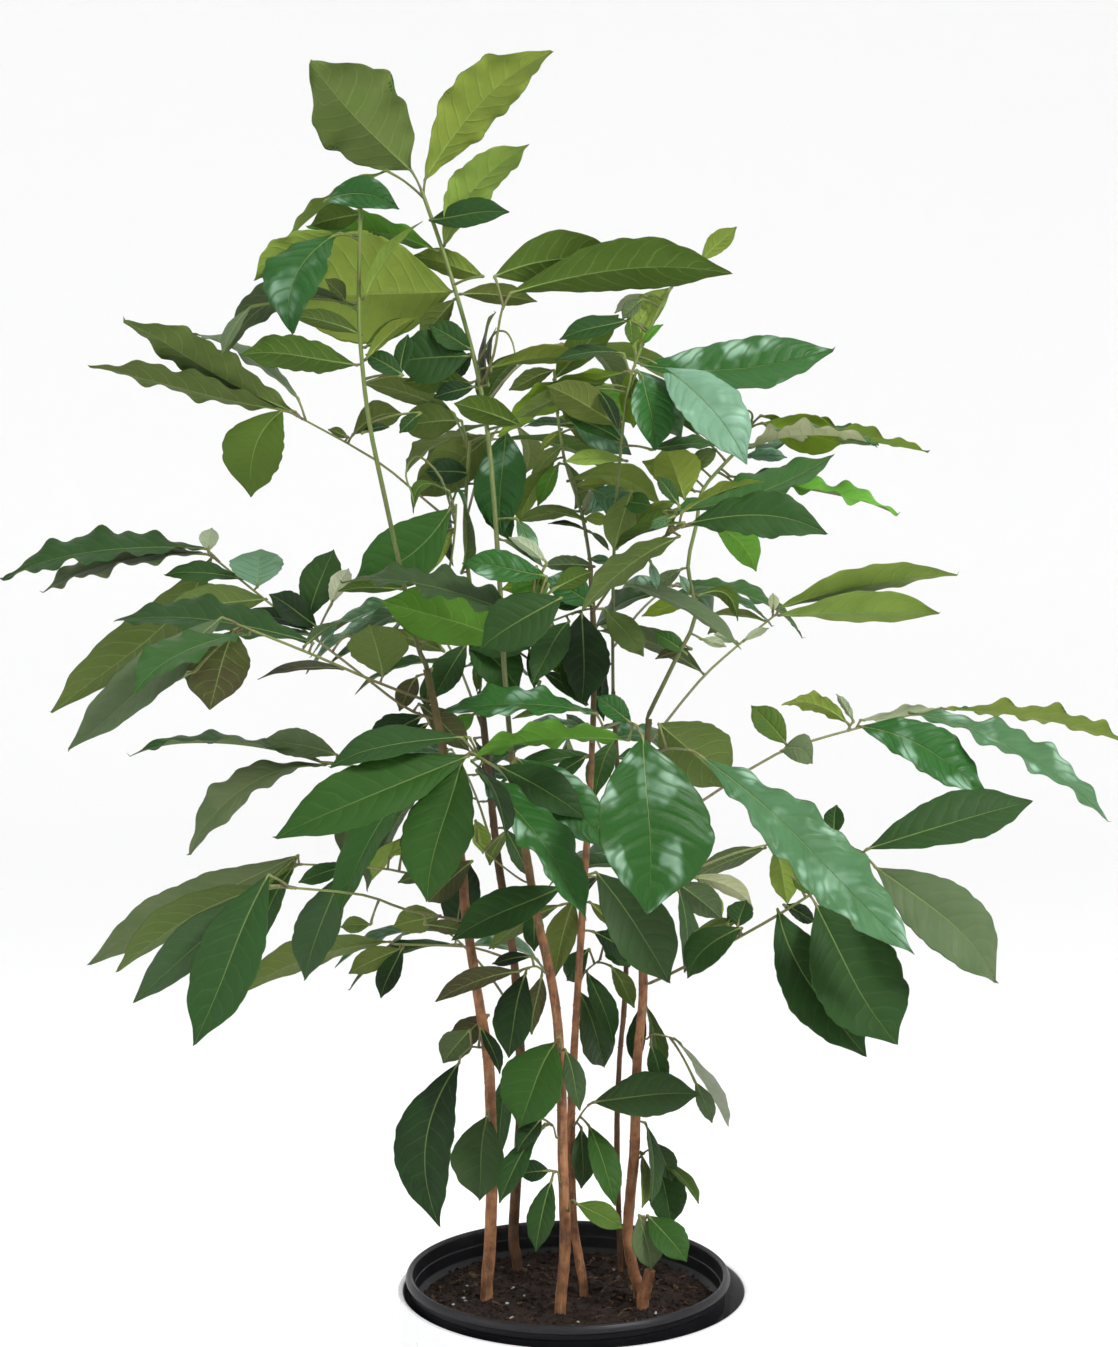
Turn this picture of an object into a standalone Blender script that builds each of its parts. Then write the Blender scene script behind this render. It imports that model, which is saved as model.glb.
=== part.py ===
"""Potted natal mahogany: seven thin trunks in a black nursery pot, with green shoots and
leaflets on arching stalks, and the nursery pot standing in a plain white cachepot.

Stems and leaves are placed as they are seen from the front. Their tables give centimetres
across and up on the plane through the pot's middle, and a depth behind that plane. A point
moved in depth is scaled from the eye, so that it keeps its place in the front view.
"""

import math
import random

import bmesh
import bpy
from mathutils import Quaternion, Vector, noise
from mathutils.bvhtree import BVHTree

CM = 0.01
EYE = Vector((-0.012, -1.7, 0.82))
GAP = 0.00035  # between two solids that touch

CACHEPOT_RADIUS = 0.143
CACHEPOT_HEIGHT = 0.236
CACHEPOT_WALL = 0.005
CACHEPOT_FLOOR = 0.010
NURSERY_SHIFT = -0.0048  # the nursery pot stands a little left of the middle
NURSERY_BASE = CACHEPOT_FLOOR + GAP
NURSERY_RIM = 0.250
NURSERY_FOOT_RADIUS = 0.098
NURSERY_LIP_RADIUS = 0.1315
NURSERY_BAND_RADIUS = 0.1275
NURSERY_BAND_HEIGHT = 0.022
NURSERY_WALL = 0.0022
DRAIN_RADIUS = 0.006
DRAIN_CIRCLE = 0.06
DRAINS = 4
SOIL_TOP = 0.225
SOIL_LUMPS = 0.0035
HOLE_DEPTH = 0.040
ROUND_STEPS = 40

BLADE_RISE = 0.0008  # half a blade's thickness at its midrib
BLADE_FOLD = 0.20  # how far the edges stand above the midrib, against half the width
BLADE_ARCH = 0.07  # rise of a blade's middle, against its length
NARROWEST = 0.0010  # half the width of a blade near its ends
BLADE_RATIO = 0.38  # a leaflet's true width against its length
WIDEST_BLADE = 0.056
FULLER = 1.12  # a blade's straight runs cut inside its round outline
STALK_RADIUS = 0.0012
SHORT_RUN = 0.006  # a leaflet nearer its stalk than this has no stalk of its own
LONG_RUN = 0.025
ROOT_SPACE = 0.003  # between the places where leaflets leave a stalk
CLEARANCE = 0.0013  # kept round every blade when it is bent clear of the rest
STEM_CLEARANCE = 0.0008  # kept round every stem
DEPTH_STEP = 0.011
DEPTH_TRIES = 13
BASE_SHIFTS = (0.0, 0.008, -0.008, 0.018, -0.018)
FREE_STALK = 0.35  # a stalk is tested beyond this share of its length
FREE_BLADE = 0.18  # and a blade against its own spray beyond this share
STEEPEST = 0.60  # slope of a leaflet towards or away from the eye
EDGE_ON = 0.35  # a blade turns no further from the eye than this share of its face
FACE_ON = 0.97  # nor nearer to facing it
STALK_TAPER = 0.72  # a stalk's radius at its end, against its foot
STALK_SAG = 0.06  # rise of a leaflet's stalk between its ends
COLLAR = 0.006  # a trunk stands straight up to this height above the soil
KNOT = 0.02  # cm that every other joint of a trunk is thicker
WAVE_HEIGHT = (0.03, 0.08, 0.11)  # of the blade's width, for a flat, wavy and very wavy edge
WAVE_SEEN = 1.3  # share of the wave's height that widens a blade as seen

GREEN_TOP = (0.030, 0.110, 0.028)
GREEN_YOUNG = (0.170, 0.260, 0.045)
BARK = (0.160, 0.085, 0.045)

# name: colour, radii at foot and top in cm, depths at foot and top, points across and up
TRUNKS = {
    "trunk_left": (
        BARK, (0.50, 0.29), (0.0, -1.0),
        [(-7.1, 22.5), (-6.8, 27), (-6.65, 34), (-6.9, 42), (-7.6, 46.5), (-8.7, 54),
         (-9.0, 58), (-9.7, 63), (-10.6, 68), (-11.8, 73.8)],
    ),
    "trunk_back_left": (
        BARK, (0.44, 0.27), (7.5, 6.5),
        [(-4.6, 25), (-4.9, 28), (-4.4, 36), (-4.3, 42), (-4.8, 50), (-5.9, 57), (-6.4, 61),
         (-7.5, 72)],
    ),
    "trunk_front": (
        BARK, (0.46, 0.28), (-3.6, -4.0),
        [(-1.1, 21.3), (-0.7, 27), (-0.9, 34), (-1.0, 39.4), (-1.4, 46), (-2.3, 51),
         (-3.0, 54), (-4.0, 60), (-5.0, 67)],
    ),
    "trunk_middle": (
        BARK, (0.36, 0.20), (0.6, 1.2),
        [(0.8, 22.7), (0.4, 26), (-0.1, 30), (-0.2, 38), (0.2, 46), (0.8, 56), (1.4, 66),
         (1.6, 75), (1.3, 82)],
    ),
    "trunk_back_right": (
        BARK, (0.24, 0.18), (6.8, 7.0),
        [(3.8, 24.8), (3.5, 34.5), (3.65, 41.5), (4.1, 47), (4.2, 52), (3.8, 60), (3.15, 72)],
    ),
    "trunk_right": (
        BARK, (0.46, 0.26), (0.0, -0.5),
        [(5.3, 22.5), (4.8, 25), (4.4, 28.5), (4.9, 34.6), (5.1, 41.6), (5.6, 48), (5.3, 53),
         (5.5, 60), (6.0, 69.8)],
    ),
    "trunk_stump": (
        BARK, (0.50, 0.42), (-2.0, -2.0),
        [(5.6, 21.9), (5.75, 22.9), (6.2, 24.9)],
    ),
}


def leaf(side, base, tip, width, wave=0, bow=0.0, toward=0.0):
    """A leaflet from base to tip, in cm across and up. Side T shows its top face, U its
    underside. Width is as seen. Bow lifts its middle, and toward brings its tip nearer."""
    return side, base, tip, width, wave, bow, toward


# name: colour, stem and height it grows from, stalk radius in cm, stalk points across, up
# and back, leaflets. A height of None goes on from the stem's end.
SPRAYS = {
    "spray_front": (
        GREEN_TOP, ("trunk_middle", 68.0), 0.13,
        [(2.4, 69.0, -5.0), (4.0, 69.6, -12.0), (5.0, 69.3, -16.0)],
        [
            leaf("T", (5.5, 68.3), (5.9, 54.0), 9.2),
            leaf("U", (4.4, 68.1), (-8.5, 66.7), 2.4, 2),
            leaf("T", (1.8, 70.2), (-10.5, 70.3), 2.8, 2),
        ],
    ),
    "spray_front_right": (
        GREEN_TOP, ("trunk_right", 66.5), 0.13,
        [(7.4, 67.4, -4.5), (9.3, 67.3, -13.0)],
        [
            leaf("T", (10.3, 66.7), (27.5, 50.7), 5.8, 2, -0.02),
            leaf("U", (6.8, 69.4), (12.4, 64.2), 5.6),
        ],
    ),
    "spray_front_left": (
        GREEN_TOP, ("trunk_front", 64.0), 0.13,
        [(-5.6, 65.4, -8.0), (-7.4, 66.6, -12.0), (-8.4, 67.2, -13.0)],
        [
            leaf("T", (-9.0, 66.3), (-11.9, 55.0), 5.6),
            leaf("T", (-8.5, 66.8), (-24.3, 60.3), 5.0, 0, -0.03),
            leaf("T", (-7.8, 65.6), (1.0, 53.4), 4.0, 1),
            leaf("T", (-4.6, 66.6), (3.2, 59.2), 4.0),
            leaf("T", (-9.0, 68.3), (-19.8, 66.0), 2.6),
            leaf("T", (-6.0, 66.0), (1.0, 61.8), 3.4),
        ],
    ),
    "spray_low_left_front": (
        GREEN_TOP, ("trunk_left", 53.7), 0.12,
        [(-13.5, 54.4, -6.0), (-17.0, 55.6, -10.0), (-23.0, 56.2, -15.0)],
        [
            leaf("T", (-24.6, 57.2), (-30.8, 43.3), 5.2, 0, -0.02),
            leaf("T", (-25.0, 56.0), (-35.6, 46.8), 3.4, 0, -0.04),
            leaf("U", (-24.5, 56.3), (-37.0, 49.3), 3.0),
            leaf("U", (-10.8, 53.9), (-14.6, 53.0), 2.4),
        ],
    ),
    "spray_low_left": (
        GREEN_TOP, ("trunk_left", 57.0), 0.12,
        [(-13.0, 57.3, 1.0), (-16.0, 57.8, 3.0), (-22.5, 58.1, 7.0)],
        [
            leaf("T", (-22.6, 58.6), (-39.3, 49.9), 3.7, 0, -0.03),
            leaf("T", (-18.7, 57.2), (-21.8, 48.6), 3.6),
            leaf("T", (-18.0, 58.0), (-22.2, 56.6), 1.6),
            leaf("U", (-22.2, 58.8), (-27.5, 53.5), 3.0),
        ],
    ),
    "spray_low_right": (
        GREEN_TOP, ("trunk_right", 48.5), 0.14,
        [(9.0, 49.8, -2.5), (13.9, 52.5, -6.0), (17.3, 54.5, -8.5), (21.0, 57.0, -10.5),
         (23.3, 59.0, -11.5)],
        [
            leaf("T", (19.5, 54.8), (26.2, 43.4), 7.4, 0, -0.06),
            leaf("T", (24.3, 57.8), (34.3, 48.4), 5.6, 0, 0.04),
            leaf("T", (16.4, 54.4), (23.7, 42.4), 5.4, 0, -0.09),
            leaf("T", (23.6, 59.3), (36.9, 63.2), 4.3, 0, -0.03),
            leaf("T", (20.9, 60.4), (21.1, 62.9), 1.7),
            leaf("T", (13.2, 53.0), (13.9, 55.2), 2.2),
            leaf("T", (13.5, 52.9), (9.1, 48.8), 3.0, 0, 0.1),
        ],
    ),
    "spray_mid_right": (
        GREEN_TOP, ("trunk_right", 61.0), 0.13,
        [(10.0, 63.0, -0.5), (16.3, 67.0, 1.5), (22.9, 69.1, 4.0), (29.5, 70.7, 7.0)],
        [
            leaf("T", (22.9, 69.2), (33.2, 63.6), 4.3, 1, 0.05),
            leaf("T", (26.9, 70.3), (43.3, 61.5), 2.9, 2, 0.02),
            leaf("U", (29.7, 70.6), (45.3, 67.4), 2.0, 2, -0.02),
            leaf("U", (23.0, 69.7), (29.3, 70.5), 1.3, 1, -0.08),
            leaf("U", (22.0, 69.4), (16.6, 70.9), 1.8, 2, 0.1),
            leaf("T", (17.0, 67.8), (14.2, 70.9), 2.4),
            leaf("T", (16.6, 67.2), (19.2, 66.2), 2.4, 0, 0.25),
        ],
    ),
    "spray_upper_right": (
        GREEN_TOP, ("trunk_middle", 78.5), 0.12,
        [(3.6, 81.2, -5.0), (6.6, 84.0, -10.0), (8.8, 85.3, -13.0)],
        [
            leaf("T", (7.2, 86.4), (20.8, 91.0), 2.8, 1, -0.13),
            leaf("T", (9.2, 85.4), (20.3, 84.6), 4.0, 1, 0.06),
            leaf("U", (11.2, 85.2), (14.6, 81.6), 2.6, 0, 0.1),
            leaf("U", (8.4, 84.4), (0.5, 78.5), 2.6, 1),
            leaf("T", (4.2, 80.6), (13.4, 75.3), 1.5),
        ],
    ),
    "spray_centre": (
        GREEN_TOP, ("shoot_top", 75.5), 0.12,
        [(-4.4, 77.3, -8.0), (-2.8, 79.0, -10.0)],
        [
            leaf("T", (-3.0, 77.4), (-18.8, 81.0), 2.8, 2),
            leaf("T", (-2.2, 81.2), (-9.0, 82.3), 2.6),
            leaf("T", (-1.0, 79.5), (-7.5, 75.5), 4.5),
            leaf("U", (-5.0, 75.8), (-15.5, 79.3), 4.8),
            leaf("U", (-1.6, 80.2), (1.4, 81.6), 1.8),
            leaf("U", (-3.0, 82.0), (-3.5, 78.6), 3.0),
        ],
    ),
    "spray_centre_low": (
        GREEN_TOP, ("trunk_back_left", 70.5), 0.12,
        [(-6.8, 73.0, 2.5), (-4.0, 76.5, 2.0), (0.2, 78.4, 1.0)],
        [
            leaf("T", (0.6, 78.3), (0.6, 71.0), 4.0),
            leaf("T", (-8.4, 76.6), (-4.4, 72.1), 3.8),
            leaf("T", (2.4, 78.6), (5.6, 74.8), 2.4),
        ],
    ),
    "shoot_left": (
        GREEN_YOUNG, ("trunk_left", None), 0.26,
        [(-12.6, 76.0, -1.3), (-13.9, 82.0, -2.4), (-15.2, 88.0, -3.4), (-16.4, 94.0, -4.2),
         (-17.0, 100.0, -5.0), (-17.1, 104.0, -5.0), (-16.9, 110.5, -5.0)],
        [
            leaf("T", (-19.0, 108.2), (-22.4, 100.4), 4.9, 1, 0.14),
            leaf("U", (-18.6, 108.4), (-25.5, 104.7), 3.2, 1),
            leaf("T", (-19.8, 110.9), (-13.8, 110.3), 2.6, 0, 0.12),
            leaf("U", (-17.2, 102.5), (-28.0, 98.8), 2.5, 1, 0.17),
            leaf("U", (-17.3, 98.0), (-26.7, 98.9), 3.2, 1),
        ],
    ),
    "shoot_top": (
        GREEN_YOUNG, ("trunk_front", None), 0.27,
        [(-5.6, 74.0, -3.8), (-5.9, 80.0, -3.2), (-6.6, 90.0, -2.0), (-7.4, 96.0, -1.0),
         (-8.6, 101.0, 0.0), (-10.3, 106.7, 1.0), (-12.1, 111.8, 1.0)],
        [
            leaf("U", (-12.9, 113.3), (-20.8, 122.0), 7.2, 1, -0.07),
            leaf("U", (-11.8, 112.6), (-1.6, 122.6), 5.0, 1, 0.05),
            leaf("U", (-10.3, 107.4), (-3.5, 115.4), 3.7, 1, 0.07),
            leaf("U", (-9.7, 103.8), (-23.0, 102.8), 8.4),
            leaf("U", (-10.9, 107.0), (-21.3, 109.0), 2.6, 1),
            leaf("T", (-11.4, 109.4), (-5.1, 110.1), 2.3),
            leaf("T", (-8.4, 98.7), (-14.2, 98.2), 4.4),
            leaf("U", (-9.0, 103.6), (-2.9, 103.0), 1.8),
            leaf("U", (-6.6, 97.8), (1.0, 98.5), 1.6),
        ],
    ),
    "spray_top_right": (
        GREEN_TOP, ("shoot_top", 96.5), 0.13,
        [(-6.4, 98.8, -3.0), (-5.9, 101.6, -4.5), (-5.6, 102.8, -5.0)],
        [
            leaf("U", (-6.3, 105.0), (3.8, 106.6), 4.4, 0, 0.03),
            leaf("U", (-5.0, 103.7), (12.6, 105.2), 4.2, 0, 0.02),
        ],
    ),
    "shoot_bright": (
        GREEN_YOUNG, ("trunk_back_right", None), 0.18,
        [(3.1, 79.0, 4.0), (3.3, 86.0, 0.0), (3.7, 91.0, -3.0), (4.6, 97.4, -4.0),
         (7.6, 104.0, -3.5), (10.1, 106.2, -3.0)],
        [
            leaf("T", (5.4, 98.0), (20.8, 99.5), 4.2, 0, -0.11),
            leaf("T", (7.0, 97.8), (13.8, 90.1), 4.6, 0, 0.04),
            leaf("T", (5.4, 97.2), (6.5, 91.2), 3.4),
            leaf("U", (4.9, 98.9), (7.9, 104.2), 2.4, 0, 0.13),
            leaf("U", (10.1, 106.2), (12.9, 108.9), 1.7),
            leaf("U", (4.2, 97.5), (-6.2, 92.4), 2.6, 1),
            leaf("U", (6.2, 103.5), (3.2, 102.1), 1.0),
            leaf("T", (4.2, 90.4), (-0.8, 90.4), 1.3),
        ],
    ),
    "shoot_middle": (
        GREEN_YOUNG, ("trunk_middle", None), 0.19,
        [(0.6, 86.3, 2.0), (-0.8, 90.7, 2.6), (-1.5, 95.6, 3.0)],
        [
            leaf("U", (-1.6, 96.9), (3.6, 102.0), 2.8),
            leaf("U", (-1.0, 94.5), (4.0, 92.8), 4.4),
            leaf("U", (-0.6, 96.6), (4.6, 93.4), 2.8, 0, 0.0, -2.0),
            leaf("T", (-0.1, 93.4), (4.6, 90.9), 2.4),
            leaf("U", (-1.5, 90.5), (-4.6, 85.4), 1.8),
            leaf("U", (0.4, 86.4), (-4.5, 85.6), 1.3),
            leaf("T", (1.4, 88.2), (5.0, 85.8), 2.5),
            leaf("U", (-0.5, 88.8), (7.0, 86.8), 2.2, 0, 0.1, -3.0),
        ],
    ),
    "shoot_back": (
        GREEN_YOUNG, ("trunk_back_left", None), 0.24,
        [(-8.0, 78.0, 6.4), (-8.7, 84.0, 5.6), (-8.6, 88.0, 5.0), (-8.3, 92.0, 4.6)],
        [
            leaf("T", (-5.4, 92.8), (-5.8, 84.4), 4.2),
            leaf("U", (-6.6, 92.5), (-12.9, 87.6), 4.0, 0, -0.05),
            leaf("T", (-7.6, 88.5), (-5.0, 84.0), 2.4),
            leaf("U", (-9.0, 93.6), (-13.9, 93.2), 3.0),
            leaf("U", (-9.6, 94.2), (-16.8, 96.6), 2.0),
            leaf("T", (-9.2, 89.5), (-11.9, 89.6), 2.0),
        ],
    ),
    "shoot_fork": (
        GREEN_YOUNG, ("shoot_left", 75.6), 0.15,
        [(-11.0, 77.0, 0.4), (-10.3, 80.0, 0.6), (-9.6, 84.0, 0.6), (-9.4, 87.0, 0.4)],
        [
            leaf("T", (-9.9, 86.6), (-17.6, 81.0), 5.0, 0, -0.14),
            leaf("U", (-9.9, 85.0), (-13.8, 81.7), 2.6),
            leaf("T", (-10.0, 88.0), (-12.8, 86.2), 0.9, 0, 0.4),
        ],
    ),
    "spray_top_left": (
        GREEN_TOP, ("shoot_fork", 85.6), 0.12,
        [(-12.0, 87.4, 2.0), (-16.0, 90.6, 4.5), (-22.1, 94.0, 8.0)],
        [
            leaf("T", (-23.2, 94.4), (-25.8, 87.5), 4.9, 0, 0.11),
            leaf("U", (-22.2, 94.3), (-35.8, 101.9), 3.6, 1, -0.08),
            leaf("U", (-23.5, 94.5), (-38.7, 98.0), 2.4, 1, -0.07),
            leaf("T", (-22.0, 95.4), (-30.6, 100.6), 1.5, 1),
            leaf("U", (-17.6, 92.5), (-13.6, 94.1), 2.4, 0, 0.12),
            leaf("U", (-18.0, 92.3), (-19.6, 92.9), 0.8),
        ],
    ),
    "shoot_right": (
        GREEN_YOUNG, ("trunk_right", None), 0.22,
        [(8.0, 74.3, -0.4), (9.7, 78.0, 0.0), (9.1, 82.0, 0.6), (9.8, 85.5, 1.2),
         (10.2, 88.0, 1.6), (12.0, 90.2, 2.0), (13.2, 91.5, 2.2), (14.2, 93.4, 2.4)],
        [
            leaf("U", (14.9, 94.0), (28.4, 91.3), 1.6, 2, -0.09),
            leaf("U", (15.0, 93.4), (21.4, 91.8), 3.2, 0, -0.04),
            leaf("U", (13.8, 91.4), (24.3, 91.6), 1.5, 2),
            leaf("T", (12.4, 89.2), (26.1, 86.4), 1.8, 2, -0.05),
            leaf("U", (8.8, 87.4), (7.2, 91.6), 4.0),
            leaf("T", (9.0, 89.4), (11.4, 91.4), 1.5),
            leaf("U", (9.9, 79.7), (13.1, 77.6), 1.3, 0, 0.30),
            leaf("T", (8.6, 81.8), (6.2, 80.0), 1.2),
        ],
    ),
    "spray_high_right": (
        GREEN_TOP, ("trunk_right", 68.2), 0.13,
        [(10.0, 72.8, 3.5), (13.0, 75.6, 7.0), (16.3, 78.3, 11.0)],
        [
            leaf("U", (16.4, 78.7), (30.8, 81.7), 2.3, 0, -0.04),
            leaf("U", (16.4, 78.1), (29.4, 78.5), 2.6, 0, -0.05),
            leaf("U", (10.4, 73.4), (1.9, 77.0), 1.9, 0, 0.02),
            leaf("T", (15.9, 78.4), (15.9, 79.9), 0.9),
            leaf("U", (13.0, 76.0), (11.2, 76.6), 0.9),
        ],
    ),
    "spray_mid_left": (
        GREEN_TOP, ("trunk_left", 70.0), 0.13,
        [(-13.8, 70.9, 0.0), (-17.7, 73.9, 3.0), (-24.5, 79.2, 7.0), (-29.0, 82.9, 10.0)],
        [
            leaf("T", (-29.3, 83.4), (-46.0, 81.1), 3.0, 2),
            leaf("T", (-29.5, 83.0), (-42.8, 80.1), 2.6, 2),
            leaf("U", (-28.9, 82.8), (-42.2, 70.5), 4.2, 0, -0.1),
            leaf("U", (-25.3, 80.4), (-25.0, 83.4), 4.4),
            leaf("U", (-24.6, 79.4), (-33.0, 78.2), 3.0),
            leaf("T", (-26.5, 81.0), (-32.8, 81.4), 1.8, 1),
            leaf("T", (-21.2, 77.9), (-19.2, 83.4), 3.2),
            leaf("T", (-20.6, 77.2), (-24.4, 79.8), 2.4),
            leaf("U", (-29.2, 83.2), (-28.9, 85.1), 1.6),
        ],
    ),
    "spray_mid_left_front": (
        GREEN_TOP, ("trunk_left", 71.4), 0.13,
        [(-15.9, 72.8, -4.5), (-21.0, 75.0, -9.0), (-27.0, 77.4, -13.0)],
        [
            leaf("T", (-28.2, 77.9), (-40.6, 67.1), 3.8, 0, -0.05),
            leaf("T", (-20.9, 75.9), (-36.9, 77.5), 3.2, 1),
            leaf("U", (-27.2, 76.9), (-29.2, 70.5), 5.4),
            leaf("T", (-26.0, 76.6), (-35.4, 72.1), 2.8, 1),
            leaf("U", (-15.3, 73.3), (-16.4, 77.4), 5.0),
            leaf("T", (-18.5, 73.8), (-25.4, 73.0), 0.9),
        ],
    ),
    "spray_narrow_left": (
        GREEN_TOP, ("trunk_left", 64.5), 0.12,
        [(-13.0, 65.5, 3.5), (-19.5, 66.2, 7.5)],
        [
            leaf("T", (-20.0, 66.1), (-31.2, 58.8), 3.0, 1, 0.09),
            leaf("T", (-19.0, 66.9), (-25.0, 68.2), 2.4),
            leaf("T", (-20.2, 66.3), (-36.0, 67.2), 1.1, 1),
            leaf("T", (-12.8, 64.9), (-19.1, 53.6), 2.8),
            leaf("U", (-12.0, 64.4), (-16.6, 55.8), 2.0),
            leaf("U", (-16.0, 65.0), (-18.7, 58.9), 1.4),
        ],
    ),
    "spray_lowest_left": (
        GREEN_TOP, ("trunk_back_left", 50.6), 0.12,
        [(-8.0, 51.3, 7.5), (-10.8, 51.5, 9.0), (-14.7, 51.6, 11.0)],
        [
            leaf("U", (-14.8, 51.8), (-27.0, 47.8), 2.6),
            leaf("U", (-14.0, 51.2), (-18.2, 49.2), 2.0),
            leaf("T", (-13.8, 51.3), (-15.6, 47.2), 1.9),
            leaf("T", (-9.5, 52.2), (-8.4, 58.3), 3.3),
        ],
    ),
    "spray_inner_right": (
        GREEN_TOP, ("trunk_right", 56.4), 0.12,
        [(9.0, 57.4, 3.0), (13.0, 59.0, 7.0), (16.6, 59.9, 10.0)],
        [
            leaf("U", (16.2, 59.4), (17.2, 54.8), 2.4),
            leaf("U", (15.4, 59.4), (9.6, 57.0), 1.7, 0, -0.02),
            leaf("U", (9.5, 57.0), (14.5, 54.6), 1.6, 0, 0.06),
            leaf("U", (8.2, 56.6), (12.0, 53.6), 2.6),
        ],
    ),
    "sprig_middle": (
        GREEN_TOP, ("trunk_middle", 55.0), 0.11,
        [(0.6, 56.2, -2.5), (0.4, 56.9, -5.5)],
        [
            leaf("T", (1.8, 57.4), (7.8, 48.4), 5.2),
            leaf("T", (-1.0, 56.2), (-9.9, 51.9), 3.4),
            leaf("U", (0.0, 55.2), (-1.6, 48.8), 2.6),
            leaf("U", (-1.0, 54.8), (-6.9, 51.2), 1.8),
            leaf("U", (1.3, 55.0), (3.1, 53.0), 1.0),
        ],
    ),
    "sprig_crossing": (
        GREEN_TOP, ("trunk_front", 56.8), 0.09,
        [(-4.8, 57.2, -5.4), (-6.8, 58.8, -5.6), (-7.9, 60.0, -5.6)],
        [
            leaf("U", (-7.9, 61.6), (-7.3, 58.9), 1.6),
            leaf("U", (-5.6, 60.6), (-6.8, 58.0), 1.3),
        ],
    ),
    "sprig_back_middle": (
        GREEN_TOP, ("trunk_middle", 47.6), 0.10,
        [(0.8, 49.2, 3.0), (2.2, 50.4, 4.0)],
        [
            leaf("T", (0.4, 47.8), (2.5, 41.5), 3.0),
            leaf("T", (2.8, 52.8), (4.5, 49.7), 3.0),
            leaf("U", (3.0, 49.8), (4.9, 46.4), 1.6),
            leaf("T", (1.2, 51.2), (-0.6, 48.6), 2.0),
        ],
    ),
    "sprig_front_high": (
        GREEN_TOP, ("trunk_front", 49.4), 0.10,
        [(-3.0, 49.8, -6.0), (-3.9, 49.6, -7.0)],
        [
            leaf("T", (-3.9, 49.2), (-5.3, 42.3), 3.2),
            leaf("U", (-4.4, 49.4), (-11.3, 47.0), 1.8),
        ],
    ),
    "sprig_left": (
        GREEN_TOP, ("trunk_left", 43.4), 0.10,
        [(-8.4, 43.2, -2.0), (-9.2, 42.4, -3.5)],
        [
            leaf("T", (-9.3, 41.9), (-10.8, 28.4), 4.8, 0, 0.12),
            leaf("U", (-8.4, 44.6), (-10.6, 41.9), 2.6),
            leaf("T", (-7.5, 44.8), (-6.0, 41.0), 1.2),
        ],
    ),
    "sprig_left_low": (
        GREEN_TOP, ("trunk_left", 37.4), 0.09,
        [(-6.9, 38.2, -1.6), (-7.0, 38.0, -2.6)],
        [leaf("T", (-7.0, 37.6), (-7.7, 30.6), 4.4)],
    ),
    "sprig_front": (
        GREEN_TOP, ("trunk_front", 43.0), 0.10,
        [(-1.1, 44.0, -5.2), (-1.4, 44.0, -6.4)],
        [
            leaf("T", (-1.5, 43.6), (-4.5, 36.6), 5.2),
            leaf("T", (-0.7, 43.0), (0.5, 38.0), 1.8),
        ],
    ),
    "sprig_front_low": (
        GREEN_TOP, ("trunk_front", 36.0), 0.09,
        [(-1.7, 36.8, -4.6), (-2.4, 37.0, -5.0)],
        [
            leaf("T", (-3.0, 36.2), (-6.1, 30.4), 2.0),
            leaf("T", (-2.5, 36.6), (-4.6, 34.8), 1.8),
        ],
    ),
    "sprig_front_foot": (
        GREEN_TOP, ("trunk_front", 32.4), 0.09,
        [(-1.3, 33.0, -4.6), (-1.7, 33.0, -5.2)],
        [
            leaf("T", (-1.8, 32.3), (-3.1, 26.4), 2.3),
            leaf("T", (-2.0, 33.1), (-4.4, 32.8), 1.8),
        ],
    ),
    "sprig_front_right": (
        GREEN_TOP, ("trunk_front", 30.0), 0.09,
        [(-0.3, 30.6, -4.6), (0.0, 30.7, -5.2)],
        [leaf("T", (0.2, 30.4), (4.0, 28.3), 2.0)],
    ),
    "sprig_middle_low": (
        GREEN_TOP, ("trunk_middle", 37.0), 0.10,
        [(0.7, 37.9, -1.4), (1.2, 38.5, -2.6)],
        [
            leaf("T", (1.6, 38.7), (10.2, 39.4), 3.7),
            leaf("T", (1.2, 36.8), (3.4, 30.2), 2.4),
            leaf("T", (0.6, 36.6), (0.6, 31.6), 2.0),
        ],
    ),
    "sprig_right": (
        GREEN_TOP, ("trunk_right", 43.9), 0.09,
        [(6.5, 44.3, 0.2), (8.2, 43.9, 0.4)],
        [
            leaf("U", (8.6, 43.5), (12.6, 36.7), 1.2, 0, -0.05),
            leaf("T", (6.2, 43.4), (7.2, 40.0), 1.8),
        ],
    ),
    "sprig_right_low": (
        GREEN_TOP, ("trunk_right", 34.0), 0.10,
        [(6.0, 34.8, 1.4), (6.6, 34.6, 2.0)],
        [
            leaf("T", (6.8, 33.6), (7.9, 28.6), 3.2),
            leaf("T", (6.6, 35.4), (8.0, 32.2), 1.8),
            leaf("T", (7.2, 33.9), (10.2, 30.4), 1.0),
        ],
    ),
    "sprig_stump": (
        GREEN_TOP, ("trunk_stump", None), 0.13,
        [(6.0, 26.6, -2.4), (5.7, 29.4, -3.2)],
        [
            leaf("T", (5.3, 29.4), (6.3, 24.9), 2.6),
            leaf("T", (6.0, 29.4), (9.2, 25.6), 2.8),
        ],
    ),
}

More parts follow.
